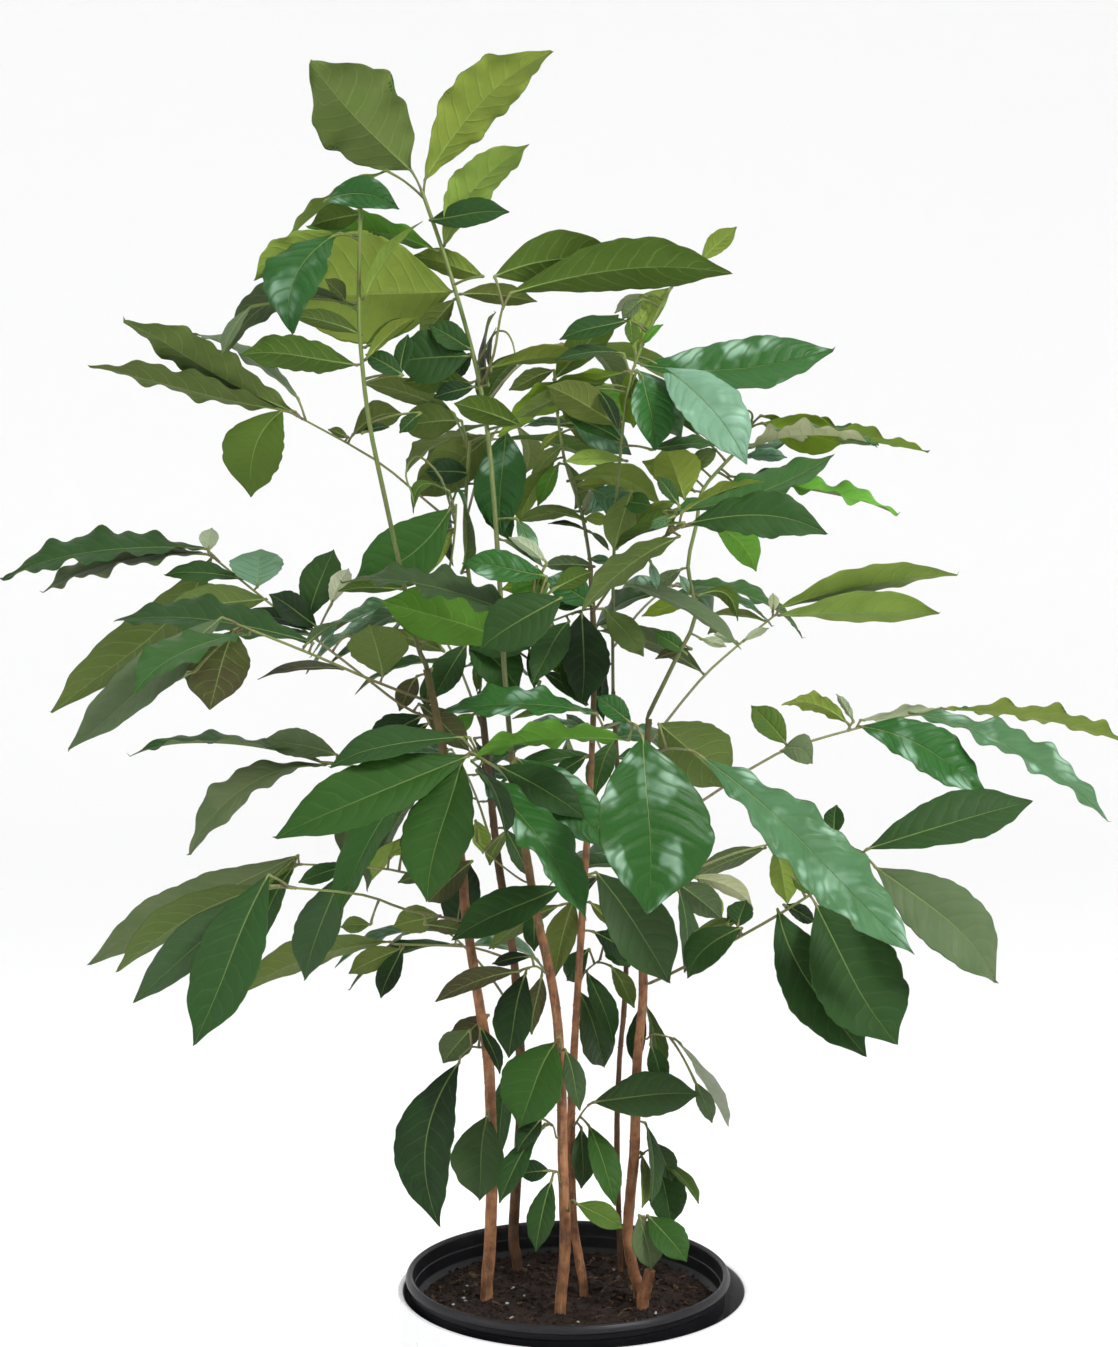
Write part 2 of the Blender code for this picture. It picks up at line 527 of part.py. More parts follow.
# Sprays on the far side: stem and height, compass turn, reach, rise and leaflet pairs
FAR_SPRAYS = [
    ("trunk_back_left", 46.0, 118, 0.15, 0.05, 2),
    ("trunk_back_right", 52.0, 84, 0.18, 0.05, 2),
    ("trunk_back_left", 58.0, 104, 0.20, 0.08, 3),
    ("trunk_back_right", 63.0, 96, 0.22, 0.05, 3),
    ("trunk_back_left", 69.0, 108, 0.19, 0.09, 3),
    ("shoot_back", 77.0, 106, 0.16, 0.02, 2),
    ("shoot_bright", 75.5, 70, 0.18, 0.05, 2),
    ("shoot_back", 86.0, 80, 0.16, 0.09, 2),
    ("shoot_top", 95.0, 64, 0.14, 0.06, 1),
]
FAR_LEAFLET = 0.115
FAR_SEED = 7


def material(name, colour, roughness):
    made = bpy.data.materials.new(name)
    made.use_nodes = True
    shader = made.node_tree.nodes["Principled BSDF"]
    shader.inputs["Base Color"].default_value = (*colour, 1.0)
    shader.inputs["Roughness"].default_value = roughness
    made.diffuse_color = (*colour, 1.0)
    return made


def collection(name, hidden=False):
    made = bpy.data.collections.new(name)
    made.hide_render = hidden
    bpy.context.scene.collection.children.link(made)
    return made


def add_object(name, data, where):
    made = bpy.data.objects.new(name, data)
    where.objects.link(made)
    return made


def bake(obj):
    """Puts the object's evaluated shape in its mesh and drops its modifiers."""
    bpy.context.view_layer.update()
    graph = bpy.context.evaluated_depsgraph_get()
    mesh = bpy.data.meshes.new_from_object(obj.evaluated_get(graph))
    obj.modifiers.clear()
    obj.data = mesh


def weld(mesh):
    work = bmesh.new()
    work.from_mesh(mesh)
    bmesh.ops.remove_doubles(work, verts=work.verts, dist=1e-6)
    bmesh.ops.recalc_face_normals(work, faces=work.faces)
    work.to_mesh(mesh)
    work.free()


def round_smooth(obj, angle=35):
    obj.data.shade_smooth()
    obj.data.set_sharp_from_angle(angle=math.radians(angle))


def turned(name, profile, where, steps=ROUND_STEPS):
    """A profile of radius and height, turned about the upright axis."""
    mesh = bpy.data.meshes.new(name)
    points = [(radius, 0.0, height) for radius, height in profile]
    mesh.from_pydata(points, [(i, i + 1) for i in range(len(points) - 1)], [])
    made = add_object(name, mesh, where)
    screw = made.modifiers.new("Screw", "SCREW")
    screw.steps = steps
    screw.render_steps = steps
    screw.use_merge_vertices = True
    screw.merge_threshold = 0.00005
    bake(made)
    return made


def cut(target, cutters, operation="DIFFERENCE"):
    boolean = target.modifiers.new("Boolean", "BOOLEAN")
    boolean.operation = operation
    boolean.operand_type = "COLLECTION"
    boolean.collection = cutters
    boolean.solver = "EXACT"
    bake(target)
    for helper in list(cutters.objects):
        bpy.data.objects.remove(helper)


def keep_main_body(mesh):
    """Fills a hollow that fusing sealed, and drops a loose scrap, by keeping the largest body."""
    work = bmesh.new()
    work.from_mesh(mesh)
    waiting = set(work.faces)
    bodies = []
    while waiting:
        body = [waiting.pop()]
        for face in body:
            for edge in face.edges:
                for other in edge.link_faces:
                    if other in waiting:
                        waiting.remove(other)
                        body.append(other)
        bodies.append(body)
    bodies.sort(key=len)
    for body in bodies[:-1]:
        bmesh.ops.delete(work, geom=body, context="FACES")
    work.to_mesh(mesh)
    work.free()


def tube_curve(name, points, radii, where, sides_level):
    curve = bpy.data.curves.new(name, "CURVE")
    curve.dimensions = "3D"
    curve.bevel_depth = 1.0
    curve.bevel_resolution = sides_level
    curve.use_fill_caps = True
    spline = curve.splines.new("POLY")
    spline.points.add(len(points) - 1)
    for spot, point, radius in zip(spline.points, points, radii):
        spot.co = (*point, 1.0)
        spot.radius = radius
    return add_object(name, curve, where)


def tube(name, points, radii, where, sides_level=0):
    """A solid tube as a mesh. Its level gives four, six or eight sides."""
    guide = tube_curve(name + "_guide", points, radii, where, sides_level)
    bpy.context.view_layer.update()
    graph = bpy.context.evaluated_depsgraph_get()
    mesh = bpy.data.meshes.new_from_object(guide.evaluated_get(graph))
    weld(mesh)
    bpy.data.objects.remove(guide)
    return add_object(name, mesh, where)


def seen_at(across, up, depth):
    """The point that shows at this place of the front view, this far behind its plane."""
    on_plane = Vector((across * CM, 0.0, up * CM))
    return EYE + (on_plane - EYE) * (1.0 + depth * CM / -EYE.y)


class Stem:
    """A trunk or stalk: its axis in space and as seen, with a radius at each point."""

    def __init__(self, seen, points, radii):
        self.seen = seen
        self.points = points
        self.radii = radii
        self.roots = []

    def at_height(self, up):
        """The axis point, direction, radius and seen place at a height of the view."""
        for i in range(len(self.seen) - 1):
            low, high = self.seen[i], self.seen[i + 1]
            if low[1] <= up <= high[1]:
                break
        else:
            i = len(self.seen) - 2 if up > self.seen[-1][1] else 0
            low, high = self.seen[i], self.seen[i + 1]
        share = min(max((up - low[1]) / (high[1] - low[1]), 0.0), 1.0)
        point = self.points[i].lerp(self.points[i + 1], share)
        way = (self.points[i + 1] - self.points[i]).normalized()
        radius = self.radii[i] + (self.radii[i + 1] - self.radii[i]) * share
        place = tuple(a + (b - a) * share for a, b in zip(low, high))
        return point, way, radius, place

    def nearest(self, spot):
        """The axis point that looks nearest to a place of the view, and its depth."""
        best = None
        for i in range(len(self.seen) - 1):
            a, b = Vector(self.seen[i][:2]), Vector(self.seen[i + 1][:2])
            run = b - a
            share = (Vector(spot) - a).dot(run) / max(run.dot(run), 1e-9)
            share = min(max(share, 0.0), 1.0)
            apart = (a + run * share - Vector(spot)).length
            if best is None or apart < best[0] - 1e-9:
                best = apart, i, share
        _, i, share = best
        depth = self.seen[i][2] + (self.seen[i + 1][2] - self.seen[i][2]) * share
        step = (self.points[i + 1] - self.points[i]).length
        return self.free_root(self.length_to(i) + step * share), depth

    def length_to(self, index):
        """Length of the axis up to one of its points."""
        points = self.points[: index + 1]
        return sum((b - a).length for a, b in zip(points, points[1:]))

    def free_root(self, wanted):
        """An axis point for a new leaflet, down from the wanted length past any near one."""
        whole = self.length_to(len(self.points) - 1)
        at = min(wanted, whole - 0.0015)
        while any(abs(at - taken) < ROOT_SPACE for taken in self.roots) and at > 0.003:
            at -= 0.0005
        at = max(at, 0.0015)
        self.roots.append(at)
        for a, b in zip(self.points, self.points[1:]):
            step = (b - a).length
            if at <= step:
                return a.lerp(b, at / step)
            at -= step
        return self.points[-1]


def trunk_stem(radii, depths, places):
    """A trunk from its hole in the soil up. It stands straight through the surface."""
    low, high = places[0][1], places[-1][1]
    seen = []
    for across, up in places:
        share = (up - low) / (high - low)
        seen.append((across, up, depths[0] + (depths[1] - depths[0]) * share))
    points = [seen_at(*place) for place in seen]
    thick = []
    for i, place in enumerate(seen):
        share = (place[1] - low) / (high - low)
        knot = KNOT * (i % 2)
        thick.append((radii[0] + (radii[1] - radii[0]) * share + knot) * CM)
    foot = Vector((points[0].x, points[0].y, SOIL_TOP - HOLE_DEPTH + GAP))
    collar = Vector((points[0].x, points[0].y, SOIL_TOP + COLLAR))
    seen = [seen[0]] + seen
    return Stem(seen, [foot, collar] + points[1:], [thick[0], thick[0]] + thick[1:])


def stalk_stem(carrier, height, radius, places):
    """A stalk that meets its carrier's side, or goes on from its end, a hair clear of it."""
    if height is None:
        way = (carrier.points[-1] - carrier.points[-2]).normalized()
        start = carrier.points[-1] + way * GAP
        seen = [carrier.seen[-1]]
        second = start + way * 0.004
    else:
        axis_point, axis_way, carrier_radius, place = carrier.at_height(height)
        first = seen_at(*places[0])
        way = first - axis_point
        way = (way - axis_way * way.dot(axis_way)).normalized()
        start = axis_point + way * (carrier_radius + GAP)
        seen = [place]
        second = start + way * 0.003
    points = [start, second] + [seen_at(*place) for place in places]
    seen = seen + seen + list(places)
    ends = radius * CM, radius * CM * STALK_TAPER
    radii = [ends[0] + (ends[1] - ends[0]) * i / (len(points) - 1) for i in range(len(points))]
    return Stem(seen, points, radii)


def bend(base, middle, tip, s):
    """A point and direction on the curve from base over middle to tip."""
    control = middle * 2.0 - (base + tip) * 0.5
    point = base * (1 - s) ** 2 + control * (2 * s * (1 - s)) + tip * s**2
    way = (control - base) * (2 * (1 - s)) + (tip - control) * (2 * s)
    return point, way.normalized()


def outline(s):
    """Half of a leaflet's width along it, widest past its middle, with a drawn-out tip."""
    body = math.sin(math.pi * s**1.1) ** 0.85
    tip = min(max((s - 0.80) / 0.17, 0.0), 1.0)
    return body * (1.0 - 0.35 * tip * tip * (3 - 2 * tip))


class Blade:
    """A leaflet in space. Its rings hold an edge, the midrib's top, the other edge and the
    midrib's underside, and run from inside its stalk to the point before its tip."""

    def __init__(self, base, tip, side, width, wave, bow):
        self.base = base
        self.tip = tip
        along = (tip - base).normalized()
        length = (tip - base).length
        self.width = max(width * 1.03, min(BLADE_RATIO * length, WIDEST_BLADE))
        self.wave = WAVE_HEIGHT[wave] * self.width
        seen_width = max(width - WAVE_SEEN * self.wave, EDGE_ON * width)
        facing = min(seen_width / self.width, FACE_ON)
        toward = EYE - (base + tip) * 0.5
        toward = (toward - along * toward.dot(along)).normalized()
        upward = along.cross(toward)
        if upward.z < 0:
            upward = -upward
        if side == "U":
            toward = -toward
        self.normal = (toward * facing + upward * math.sqrt(1 - facing**2)).normalized()
        self.lateral = along.cross(self.normal)
        self.middle = (base + tip) * 0.5 + self.normal * BLADE_ARCH * length
        self.middle += upward * bow * length
        self.waves = min(max(round(length / 0.028), 3), 6) + wave

    def across(self, s):
        centre, way = bend(self.base, self.middle, self.tip, s)
        lift = self.lateral.cross(way).normalized()
        half = max(0.5 * self.width * outline(s), NARROWEST)
        ripple = self.wave * math.cos(math.pi * self.waves * s) * math.sin(math.pi * s) ** 0.5
        fold = BLADE_FOLD * half
        left = centre + self.lateral * half + lift * (fold + ripple)
        right = centre - self.lateral * half + lift * (fold - ripple)
        return [left, centre + lift * BLADE_RISE, right, centre - lift * BLADE_RISE]

    def blade_rings(self, start=0.0):
        stations = [i / self.waves for i in range(1, self.waves)]
        return [self.across(s) for s in stations if s >= start]

    def stalk_rings(self, root, from_root=0.0):
        """Rings of the short stalk between the root point and the blade."""
        _, way = bend(self.base, self.middle, self.tip, 0.0)
        lift = self.lateral.cross(way).normalized()
        run = self.base - root
        if run.length < SHORT_RUN:
            turns = ((0.0, 0.0),)
            run = self.base + way * 0.01 - root
        elif run.length < LONG_RUN:
            turns = ((0.0, 0.0), (1.0, 0.5))
        else:
            turns = ((0.0, 0.0), (0.55, 0.0), (1.0, 0.5))
        turn = way.rotation_difference(run.normalized())
        rings = []
        for share, back in turns:
            if share < from_root:
                share = min(from_root, 0.9)
            twist = turn.slerp(Quaternion(), back)
            centre = root + run * share
            centre.z += STALK_SAG * run.length * math.sin(math.pi * share)
            size = STALK_RADIUS * min(0.5 + share, 0.9)
            side, up = twist @ self.lateral * size, twist @ lift * size
            rings.append([centre + side, centre + up, centre - side, centre - up])
        return rings


def loft(rings, tip):
    """Points and triangles over rings of four, split alike on both faces, to a tip."""
    points = [point for ring in rings for point in ring] + [tip]
    faces = [(0, 1, 2), (0, 2, 3)]
    for i in range(len(rings) - 1):
        a, b = 4 * i, 4 * i + 4
        for edge in (0, 2):
            for rib in (1, 3):
                if i % 2:
                    faces += [(a + edge, a + rib, b + rib), (a + edge, b + rib, b + edge)]
                else:
                    faces += [(a + edge, a + rib, b + edge), (a + rib, b + rib, b + edge)]
    last = 4 * len(rings) - 4
    faces += [(last + i, last + (i + 1) % 4, len(points) - 1) for i in range(4)]
    return points, faces


def thick_shape(rings, tip, more):
    """A loose hull round the rings, this much thicker, to test what comes too near."""
    points = []
    for left, top, right, under in rings:
        lift = (top - under).normalized() * more
        points += [left + lift, top + lift, right + lift, right - lift, under - lift,
                   left - lift]
    faces = []
    for i in range(len(rings) - 1):
        a, b = 6 * i, 6 * i + 6
        for j in range(6):
            k = (j + 1) % 6
            faces += [(a + j, a + k, b + k), (a + j, b + k, b + j)]
    last = 6 * len(rings) - 6
    if tip is not None:
        points.append(tip)
        faces += [(last + j, last + (j + 1) % 6, len(points) - 1) for j in range(6)]
    return points, faces


class Space:
    """What already stands in the plant, to find out what a new blade would cross."""

    def __init__(self):
        self.shapes = []

    def add(self, owner, points, faces):
        lo = [min(p[i] for p in points) for i in range(3)]
        hi = [max(p[i] for p in points) for i in range(3)]
        tree = BVHTree.FromPolygons([tuple(p) for p in points], faces)
        self.shapes.append((owner, lo, hi, tree))

    def crossed_by(self, points, faces, skip=None, only=None):
        lo = [min(p[i] for p in points) for i in range(3)]
        hi = [max(p[i] for p in points) for i in range(3)]
        tree = None
        for owner, low, high, other in self.shapes:
            if owner == skip or (only is not None and owner != only):
                continue
            if any(low[i] > hi[i] or high[i] < lo[i] for i in range(3)):
                continue
            if tree is None:
                tree = BVHTree.FromPolygons([tuple(p) for p in points], faces)
            if other.overlap(tree):
                return owner
        return None


def stem_shape(stem, more):
    """A six-sided hull round a stem, this much thicker."""
    points, faces = [], []
    for i, (centre, radius) in enumerate(zip(stem.points, stem.radii)):
        way = stem.points[min(i + 1, len(stem.points) - 1)] - stem.points[max(i - 1, 0)]
        side = way.cross(Vector((0.31, 0.95, 0.07))).normalized()
        lift = side.cross(way).normalized()
        for j in range(6):
            turn = math.tau * j / 6
            points.append(
                centre + (side * math.cos(turn) + lift * math.sin(turn)) * (radius + more)
            )
    for i in range(len(stem.points) - 1):
        a, b = 6 * i, 6 * i + 6
        for j in range(6):
            k = (j + 1) % 6
            faces += [(a + j, a + k, b + k), (a + j, b + k, b + j)]
    return points, faces


def depth_steps():
    """Shifts in depth to try, the smallest first and farther before nearer."""
    yield 0.0
    for i in range(1, DEPTH_TRIES):
        yield DEPTH_STEP * i
        yield -DEPTH_STEP * i


def shifted(point, depth):
    """The same place of the view, this much farther from the eye."""
    ray = (point - EYE) / (point.y - EYE.y)
    return point + ray * depth


def place_blade(space, owner, root, base, tip, row):
    """Bends a leaflet in depth until it is clear of all that stands, and adds it. One that
    finds no room is left out."""
    side, width, wave, bow = row
    for base_shift in BASE_SHIFTS:
        for tip_shift in depth_steps():
            blade = Blade(shifted(base, base_shift), shifted(tip, tip_shift + base_shift),
                          side, width, wave, bow)
            whole = blade.stalk_rings(root, FREE_STALK) + blade.blade_rings()
            outer = blade.blade_rings(FREE_BLADE)
            shape = thick_shape(whole, blade.tip, CLEARANCE)
            far_shape = thick_shape(outer, blade.tip, CLEARANCE)
            if space.crossed_by(*shape, skip=owner):
                continue
            if space.crossed_by(*far_shape, only=owner):
                continue
            space.add(owner, *shape)
            return blade
    return None


def depth_lean(row, length):
    """How far a leaflet's tip lies behind its base, from how edge-on it looks."""
    side, base, tip, width, _, _, toward = row
    rise = tip[1] - base[1]
    true_width = max(width * 1.03, min(BLADE_RATIO * length, WIDEST_BLADE / CM))
    facing = min(width / true_width, FACE_ON)
    slope = min(math.sqrt(1 - facing**2) / facing, STEEPEST)
    return (slope * rise if side == "T" else -slope * rise) - toward


def seen_blades(space, name, stem, rows):
    """The leaflets read from the front view, with the points where they leave their stalk."""
    blades = []
    for row in rows:
        side, base, tip, width, wave, bow, _ = row
        root, depth = stem.nearest(base)
        length = math.dist(base, tip)
        near = 1.0 + depth * CM / -EYE.y
        base_point = seen_at(*base, depth)
        tip_point = seen_at(*tip, depth + depth_lean(row, length))
        made = place_blade(space, name, root, base_point, tip_point,
                           (side, width * CM * near * FULLER, wave, bow))
        if made:
            blades.append((root, made))
    return blades


def far_stem(carrier, height, turn, reach, rise):
    axis_point, axis_way, radius, place = carrier.at_height(height)
    way = Vector((math.cos(math.radians(turn)), math.sin(math.radians(turn)), 0.0))
    start = axis_point + way * (radius + GAP)
    points = [start, start + way * 0.003]
    for share in (0.35, 0.7, 1.0):
        lift = rise * (1.6 * share - 0.6 * share**2)
        points.append(start + way * reach * share + Vector((0, 0, lift)))
    return Stem([place] * len(points), points, [0.0013, 0.0012, 0.0011, 0.001, 0.0009])


def far_blades(space, name, stem, pairs, chance):
    """Leaflets in pairs along the outer stalk and one at its end, drooping outwards."""
    blades = []
    spots = [(1.0, 0)]
    for pair in range(pairs):
        spots += [(0.94 - 0.24 * pair, 1), (0.91 - 0.24 * pair, -1)]
    run = stem.points[-1] - stem.points[0]
    flat = Vector((run.x, run.y, 0)).normalized()
    whole = stem.length_to(len(stem.points) - 1)
    for share, hand in spots:
        root = stem.free_root(whole * share)
        spread = math.radians(chance.uniform(48, 66)) * hand
        way = Vector((flat.x * math.cos(spread) - flat.y * math.sin(spread),
                      flat.x * math.sin(spread) + flat.y * math.cos(spread), 0))
        length = FAR_LEAFLET * chance.uniform(0.82, 1.12)
        droop = chance.uniform(0.22, 0.5)
        base = root + way * 0.008
        tip = base + (way - Vector((0, 0, droop))).normalized() * length
        ray = (base - EYE).normalized()
        facing_up = Vector((0, 0, 1)) - way * -droop
        width = 0.40 * length * max(abs(facing_up.normalized().dot(ray)), 0.35)
        side = "U" if base.z > EYE.z else "T"
        made = place_blade(space, name, root, base, tip,
                           (side, width, chance.choice((0, 1, 1)), 0.05))
        if made:
            blades.append((root, made))
    return blades


def spray_object(name, stem, blades, colour, where, helpers, level=0):
    body = tube(name, stem.points, stem.radii, where, level)
    for i, (root, blade) in enumerate(blades):
        rings = blade.stalk_rings(root) + blade.blade_rings()
        points, faces = loft(rings, blade.tip)
        mesh = bpy.data.meshes.new(f"{name}_leaflet_{i}")
        mesh.from_pydata([tuple(p) for p in points], [], faces)
        weld(mesh)
        add_object(mesh.name, mesh, helpers)
    cut(body, helpers, "UNION")
    keep_main_body(body.data)
    body.data.materials.clear()
    body.data.materials.append(material(name, colour, 0.4))
    return body


def make_cachepot(where):
    inner = CACHEPOT_RADIUS - CACHEPOT_WALL
    edge = 0.0012
    made = turned(
        "cachepot",
        [
            (0.0, CACHEPOT_FLOOR), (inner, CACHEPOT_FLOOR),
            (inner, CACHEPOT_HEIGHT - edge), (inner + edge, CACHEPOT_HEIGHT),
            (CACHEPOT_RADIUS - edge, CACHEPOT_HEIGHT), (CACHEPOT_RADIUS, CACHEPOT_HEIGHT - edge),
            (CACHEPOT_RADIUS, edge), (CACHEPOT_RADIUS - edge, 0.0), (0.0, 0.0),
        ],
        where,
    )
    made.data.materials.append(material("white_ceramic", (0.86, 0.86, 0.87), 0.32))
    round_smooth(made)


def nursery_inner_radius(height):
    """Radius of the nursery pot's inside at this height."""
    share = (height - NURSERY_BASE) / (NURSERY_RIM - NURSERY_BASE)
    body_top = NURSERY_BAND_RADIUS - 0.004
    outer = NURSERY_FOOT_RADIUS + (body_top - NURSERY_FOOT_RADIUS) * share
    return outer - NURSERY_WALL


def make_nursery_pot(where, helpers):
    band = NURSERY_RIM - NURSERY_BAND_HEIGHT
    inside = NURSERY_BASE + 0.003
    made = turned(
        "nursery_pot",
        [
            (0.0, inside), (nursery_inner_radius(inside), inside),
            (nursery_inner_radius(band - 0.004), band - 0.004),
            (NURSERY_BAND_RADIUS - NURSERY_WALL, band),
            (NURSERY_BAND_RADIUS - NURSERY_WALL + 0.0015, NURSERY_RIM - 0.001),
            (NURSERY_LIP_RADIUS - 0.0015, NURSERY_RIM), (NURSERY_LIP_RADIUS, NURSERY_RIM - 0.0015),
            (NURSERY_LIP_RADIUS, NURSERY_RIM - 0.006),
            (NURSERY_BAND_RADIUS + 0.0015, NURSERY_RIM - 0.007),
            (NURSERY_BAND_RADIUS, band - 0.004),
            (nursery_inner_radius(band - 0.006) + NURSERY_WALL, band - 0.006),
            (NURSERY_FOOT_RADIUS, NURSERY_BASE + 0.002), (NURSERY_FOOT_RADIUS - 0.002, NURSERY_BASE),
            (0.0, NURSERY_BASE),
        ],
        where,
    )
    for i in range(DRAINS):
        turn = math.tau * (i + 0.5) / DRAINS
        work = bmesh.new()
        bmesh.ops.create_cone(work, cap_ends=True, segments=10, radius1=DRAIN_RADIUS,
                              radius2=DRAIN_RADIUS, depth=0.02)
        bmesh.ops.translate(
            work, verts=work.verts,
            vec=(DRAIN_CIRCLE * math.cos(turn), DRAIN_CIRCLE * math.sin(turn), NURSERY_BASE),
        )
        mesh = bpy.data.meshes.new(f"drain_{i}")
        work.to_mesh(mesh)
        work.free()
        add_object(mesh.name, mesh, helpers)
    cut(made, helpers)
    made.location.x = NURSERY_SHIFT
    made.data.materials.append(material("black_plastic", (0.020, 0.021, 0.023), 0.42))
    round_smooth(made)


def make_soil(where, helpers, stems):
    bottom = NURSERY_BASE + 0.003 + GAP
    edge = nursery_inner_radius(SOIL_TOP) - GAP * 2
    rings = [0.0, 0.022, 0.044, 0.066, 0.088, edge]
    profile = [(radius, SOIL_TOP) for radius in rings]
    profile += [(nursery_inner_radius(bottom) - GAP * 2, bottom), (0.0, bottom)]
    made = turned("soil", profile, where, 28)
    for vertex in made.data.vertices:
        radius = math.hypot(vertex.co.x, vertex.co.y)
        if vertex.co.z > SOIL_TOP - 0.001 and radius < edge - 0.001:
            spot = Vector((vertex.co.x, vertex.co.y, 0.0)) * 55.0
            vertex.co.z += SOIL_LUMPS * noise.noise(spot)
    made.location.x = NURSERY_SHIFT
    bpy.context.view_layer.update()
    for name, stem in stems.items():
        foot = stem.points[0].copy()
        foot.z = SOIL_TOP - HOLE_DEPTH
        top = stem.points[1].copy()
        top.z = SOIL_TOP + 0.02
        radius = stem.radii[0] + GAP * 1.3
        tube(name + "_hole", [foot, top], [radius, radius], helpers, 2)
    cut(made, helpers)
    made.data.materials.append(material("peat", (0.035, 0.020, 0.013), 0.95))


def main():
    for old in list(bpy.data.objects):
        bpy.data.objects.remove(old)
    plant = collection("potted_natal_mahogany")
    helpers = collection("cutters", hidden=True)
    space = Space()

    make_cachepot(plant)
    make_nursery_pot(plant, helpers)
    stems = {}
    for name, (colour, radii, depths, places) in TRUNKS.items():
        stem = trunk_stem(radii, depths, places)
        stems[name] = stem
        made = tube(name, stem.points, stem.radii, plant, 2)
        made.data.materials.append(material(name, colour, 0.7))
        round_smooth(made, 50)
        space.add(name, *stem_shape(stem, STEM_CLEARANCE))
    make_soil(plant, helpers, dict(stems))

    waiting = dict(SPRAYS)
    while waiting:
        for name in list(waiting):
            _, (carrier, height), radius, places, _ = waiting[name]
            if carrier in stems:
                stems[name] = stalk_stem(stems[carrier], height, radius, places)
                del waiting[name]
    far = []
    for i, (carrier, height, turn, reach, rise, pairs) in enumerate(FAR_SPRAYS):
        name = f"spray_far_{i + 1}"
        stems[name] = far_stem(stems[carrier], height, turn, reach, rise)
        far.append((name, pairs))
    for name, stem in stems.items():
        if name not in TRUNKS:
            space.add(name, *stem_shape(stem, STEM_CLEARANCE))

    for name, (colour, _, radius, _, rows) in SPRAYS.items():
        blades = seen_blades(space, name, stems[name], rows)
        spray_object(name, stems[name], blades, colour, plant, helpers, int(radius > 0.16))
    chance = random.Random(FAR_SEED)
    for name, pairs in far:
        blades = far_blades(space, name, stems[name], pairs, chance)
        spray_object(name, stems[name], blades, GREEN_TOP, plant, helpers)


if __name__ == "__main__":
    main()
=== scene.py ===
"""Looks of a potted natal mahogany: leaflets with veins and waved edges, stalks, bark, soil
and the two pots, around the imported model. Run it as a script in Blender.

Stems and leaflets stand where the model's solids do. Their tables give centimetres across
and up on the plane through the pot's middle, as seen from the front, and a depth behind it.
"""

import math
import random
from functools import partial

import bmesh
import bpy
import numpy as np
from bpy.props import FloatProperty, FloatVectorProperty, IntProperty, PointerProperty
from mathutils import Matrix, Quaternion, Vector, noise
from mathutils.bvhtree import BVHTree


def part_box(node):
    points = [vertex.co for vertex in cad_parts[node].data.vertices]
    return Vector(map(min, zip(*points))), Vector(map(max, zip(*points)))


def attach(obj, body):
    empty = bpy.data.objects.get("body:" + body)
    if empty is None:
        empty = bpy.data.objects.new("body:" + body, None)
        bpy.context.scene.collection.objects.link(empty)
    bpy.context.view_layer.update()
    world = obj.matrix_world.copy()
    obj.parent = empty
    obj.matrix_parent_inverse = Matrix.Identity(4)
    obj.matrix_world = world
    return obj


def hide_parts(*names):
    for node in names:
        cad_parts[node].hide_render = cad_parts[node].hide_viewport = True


bl_info = {
    "name": "Potted Natal Mahogany",
    "version": (1, 0, 0),
    "blender": (4, 5, 0),
    "location": "View3D > Sidebar > Plant",
    "description": "Makes the leaves, stems, soil and pots of a potted natal mahogany",
    "category": "Add Mesh",
}

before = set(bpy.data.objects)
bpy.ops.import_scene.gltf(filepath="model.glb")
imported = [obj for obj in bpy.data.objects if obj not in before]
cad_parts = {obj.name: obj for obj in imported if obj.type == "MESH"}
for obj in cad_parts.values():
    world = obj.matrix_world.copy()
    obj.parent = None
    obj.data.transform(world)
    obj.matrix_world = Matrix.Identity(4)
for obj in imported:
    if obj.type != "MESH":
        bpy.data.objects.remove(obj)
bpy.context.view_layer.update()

CM = 0.01
EYE = Vector((-0.012, -1.7, 0.82))
GAP = 0.00035  # between two solids that touch

# Sizes that place the leaflets, as in the solids
BLADE_RISE = 0.0008
BLADE_FOLD = 0.20  # how far the edges stand above the midrib, against half the width
BLADE_ARCH = 0.07  # rise of a blade's middle, against its length
NARROWEST = 0.0010  # half the width of a blade near its ends
BLADE_RATIO = 0.38  # a leaflet's true width against its length
WIDEST_BLADE = 0.056
FULLER = 1.12  # a solid blade is this much wider, because its straight runs cut inside
STALK_RADIUS = 0.0012
SHORT_RUN = 0.006
SHORT_LEAD = 0.01  # a stalk shorter than that is drawn so far into its blade
LONG_RUN = 0.025
ROOT_SPACE = 0.003  # between the roots of two leaflets
ROOT_START = 0.003
ROOT_STEP = 0.0005
ROOT_END = 0.0015  # from a root to either end of its stem
FIRST_RUN = 0.003  # a stalk leaves its stem's side straight for so long
GOING_ON = 0.004
CLEARANCE = 0.0013
STEM_CLEARANCE = 0.0008
DEPTH_STEP = 0.011
DEPTH_TRIES = 13
BASE_SHIFTS = (0.0, 0.008, -0.008, 0.018, -0.018)
FREE_STALK = 0.35
FREE_BLADE = 0.18
LAST_STALK = 0.9  # share of a short stalk's length, and of its radius, where it ends
STEEPEST = 0.60
EDGE_ON = 0.35
FACE_ON = 0.97
STALK_TAPER = 0.72
STALK_SAG = 0.06
WAVE_HEIGHT = (0.03, 0.08, 0.11)  # of the blade's width, for a flat, wavy and very wavy edge
WAVE_SEEN = 1.3
WAVE_RUN = 0.028  # length of blade for each wave
FEWEST_WAVES = 3
MOST_WAVES = 6
SPARE_WIDTH = 1.03
COLLAR = 0.006
KNOT = 0.02
SOIL_TOP = 0.225
HOLE_DEPTH = 0.040
HULL_TURN = (0.31, 0.95, 0.07)  # roughly across the stems, to turn their hulls by

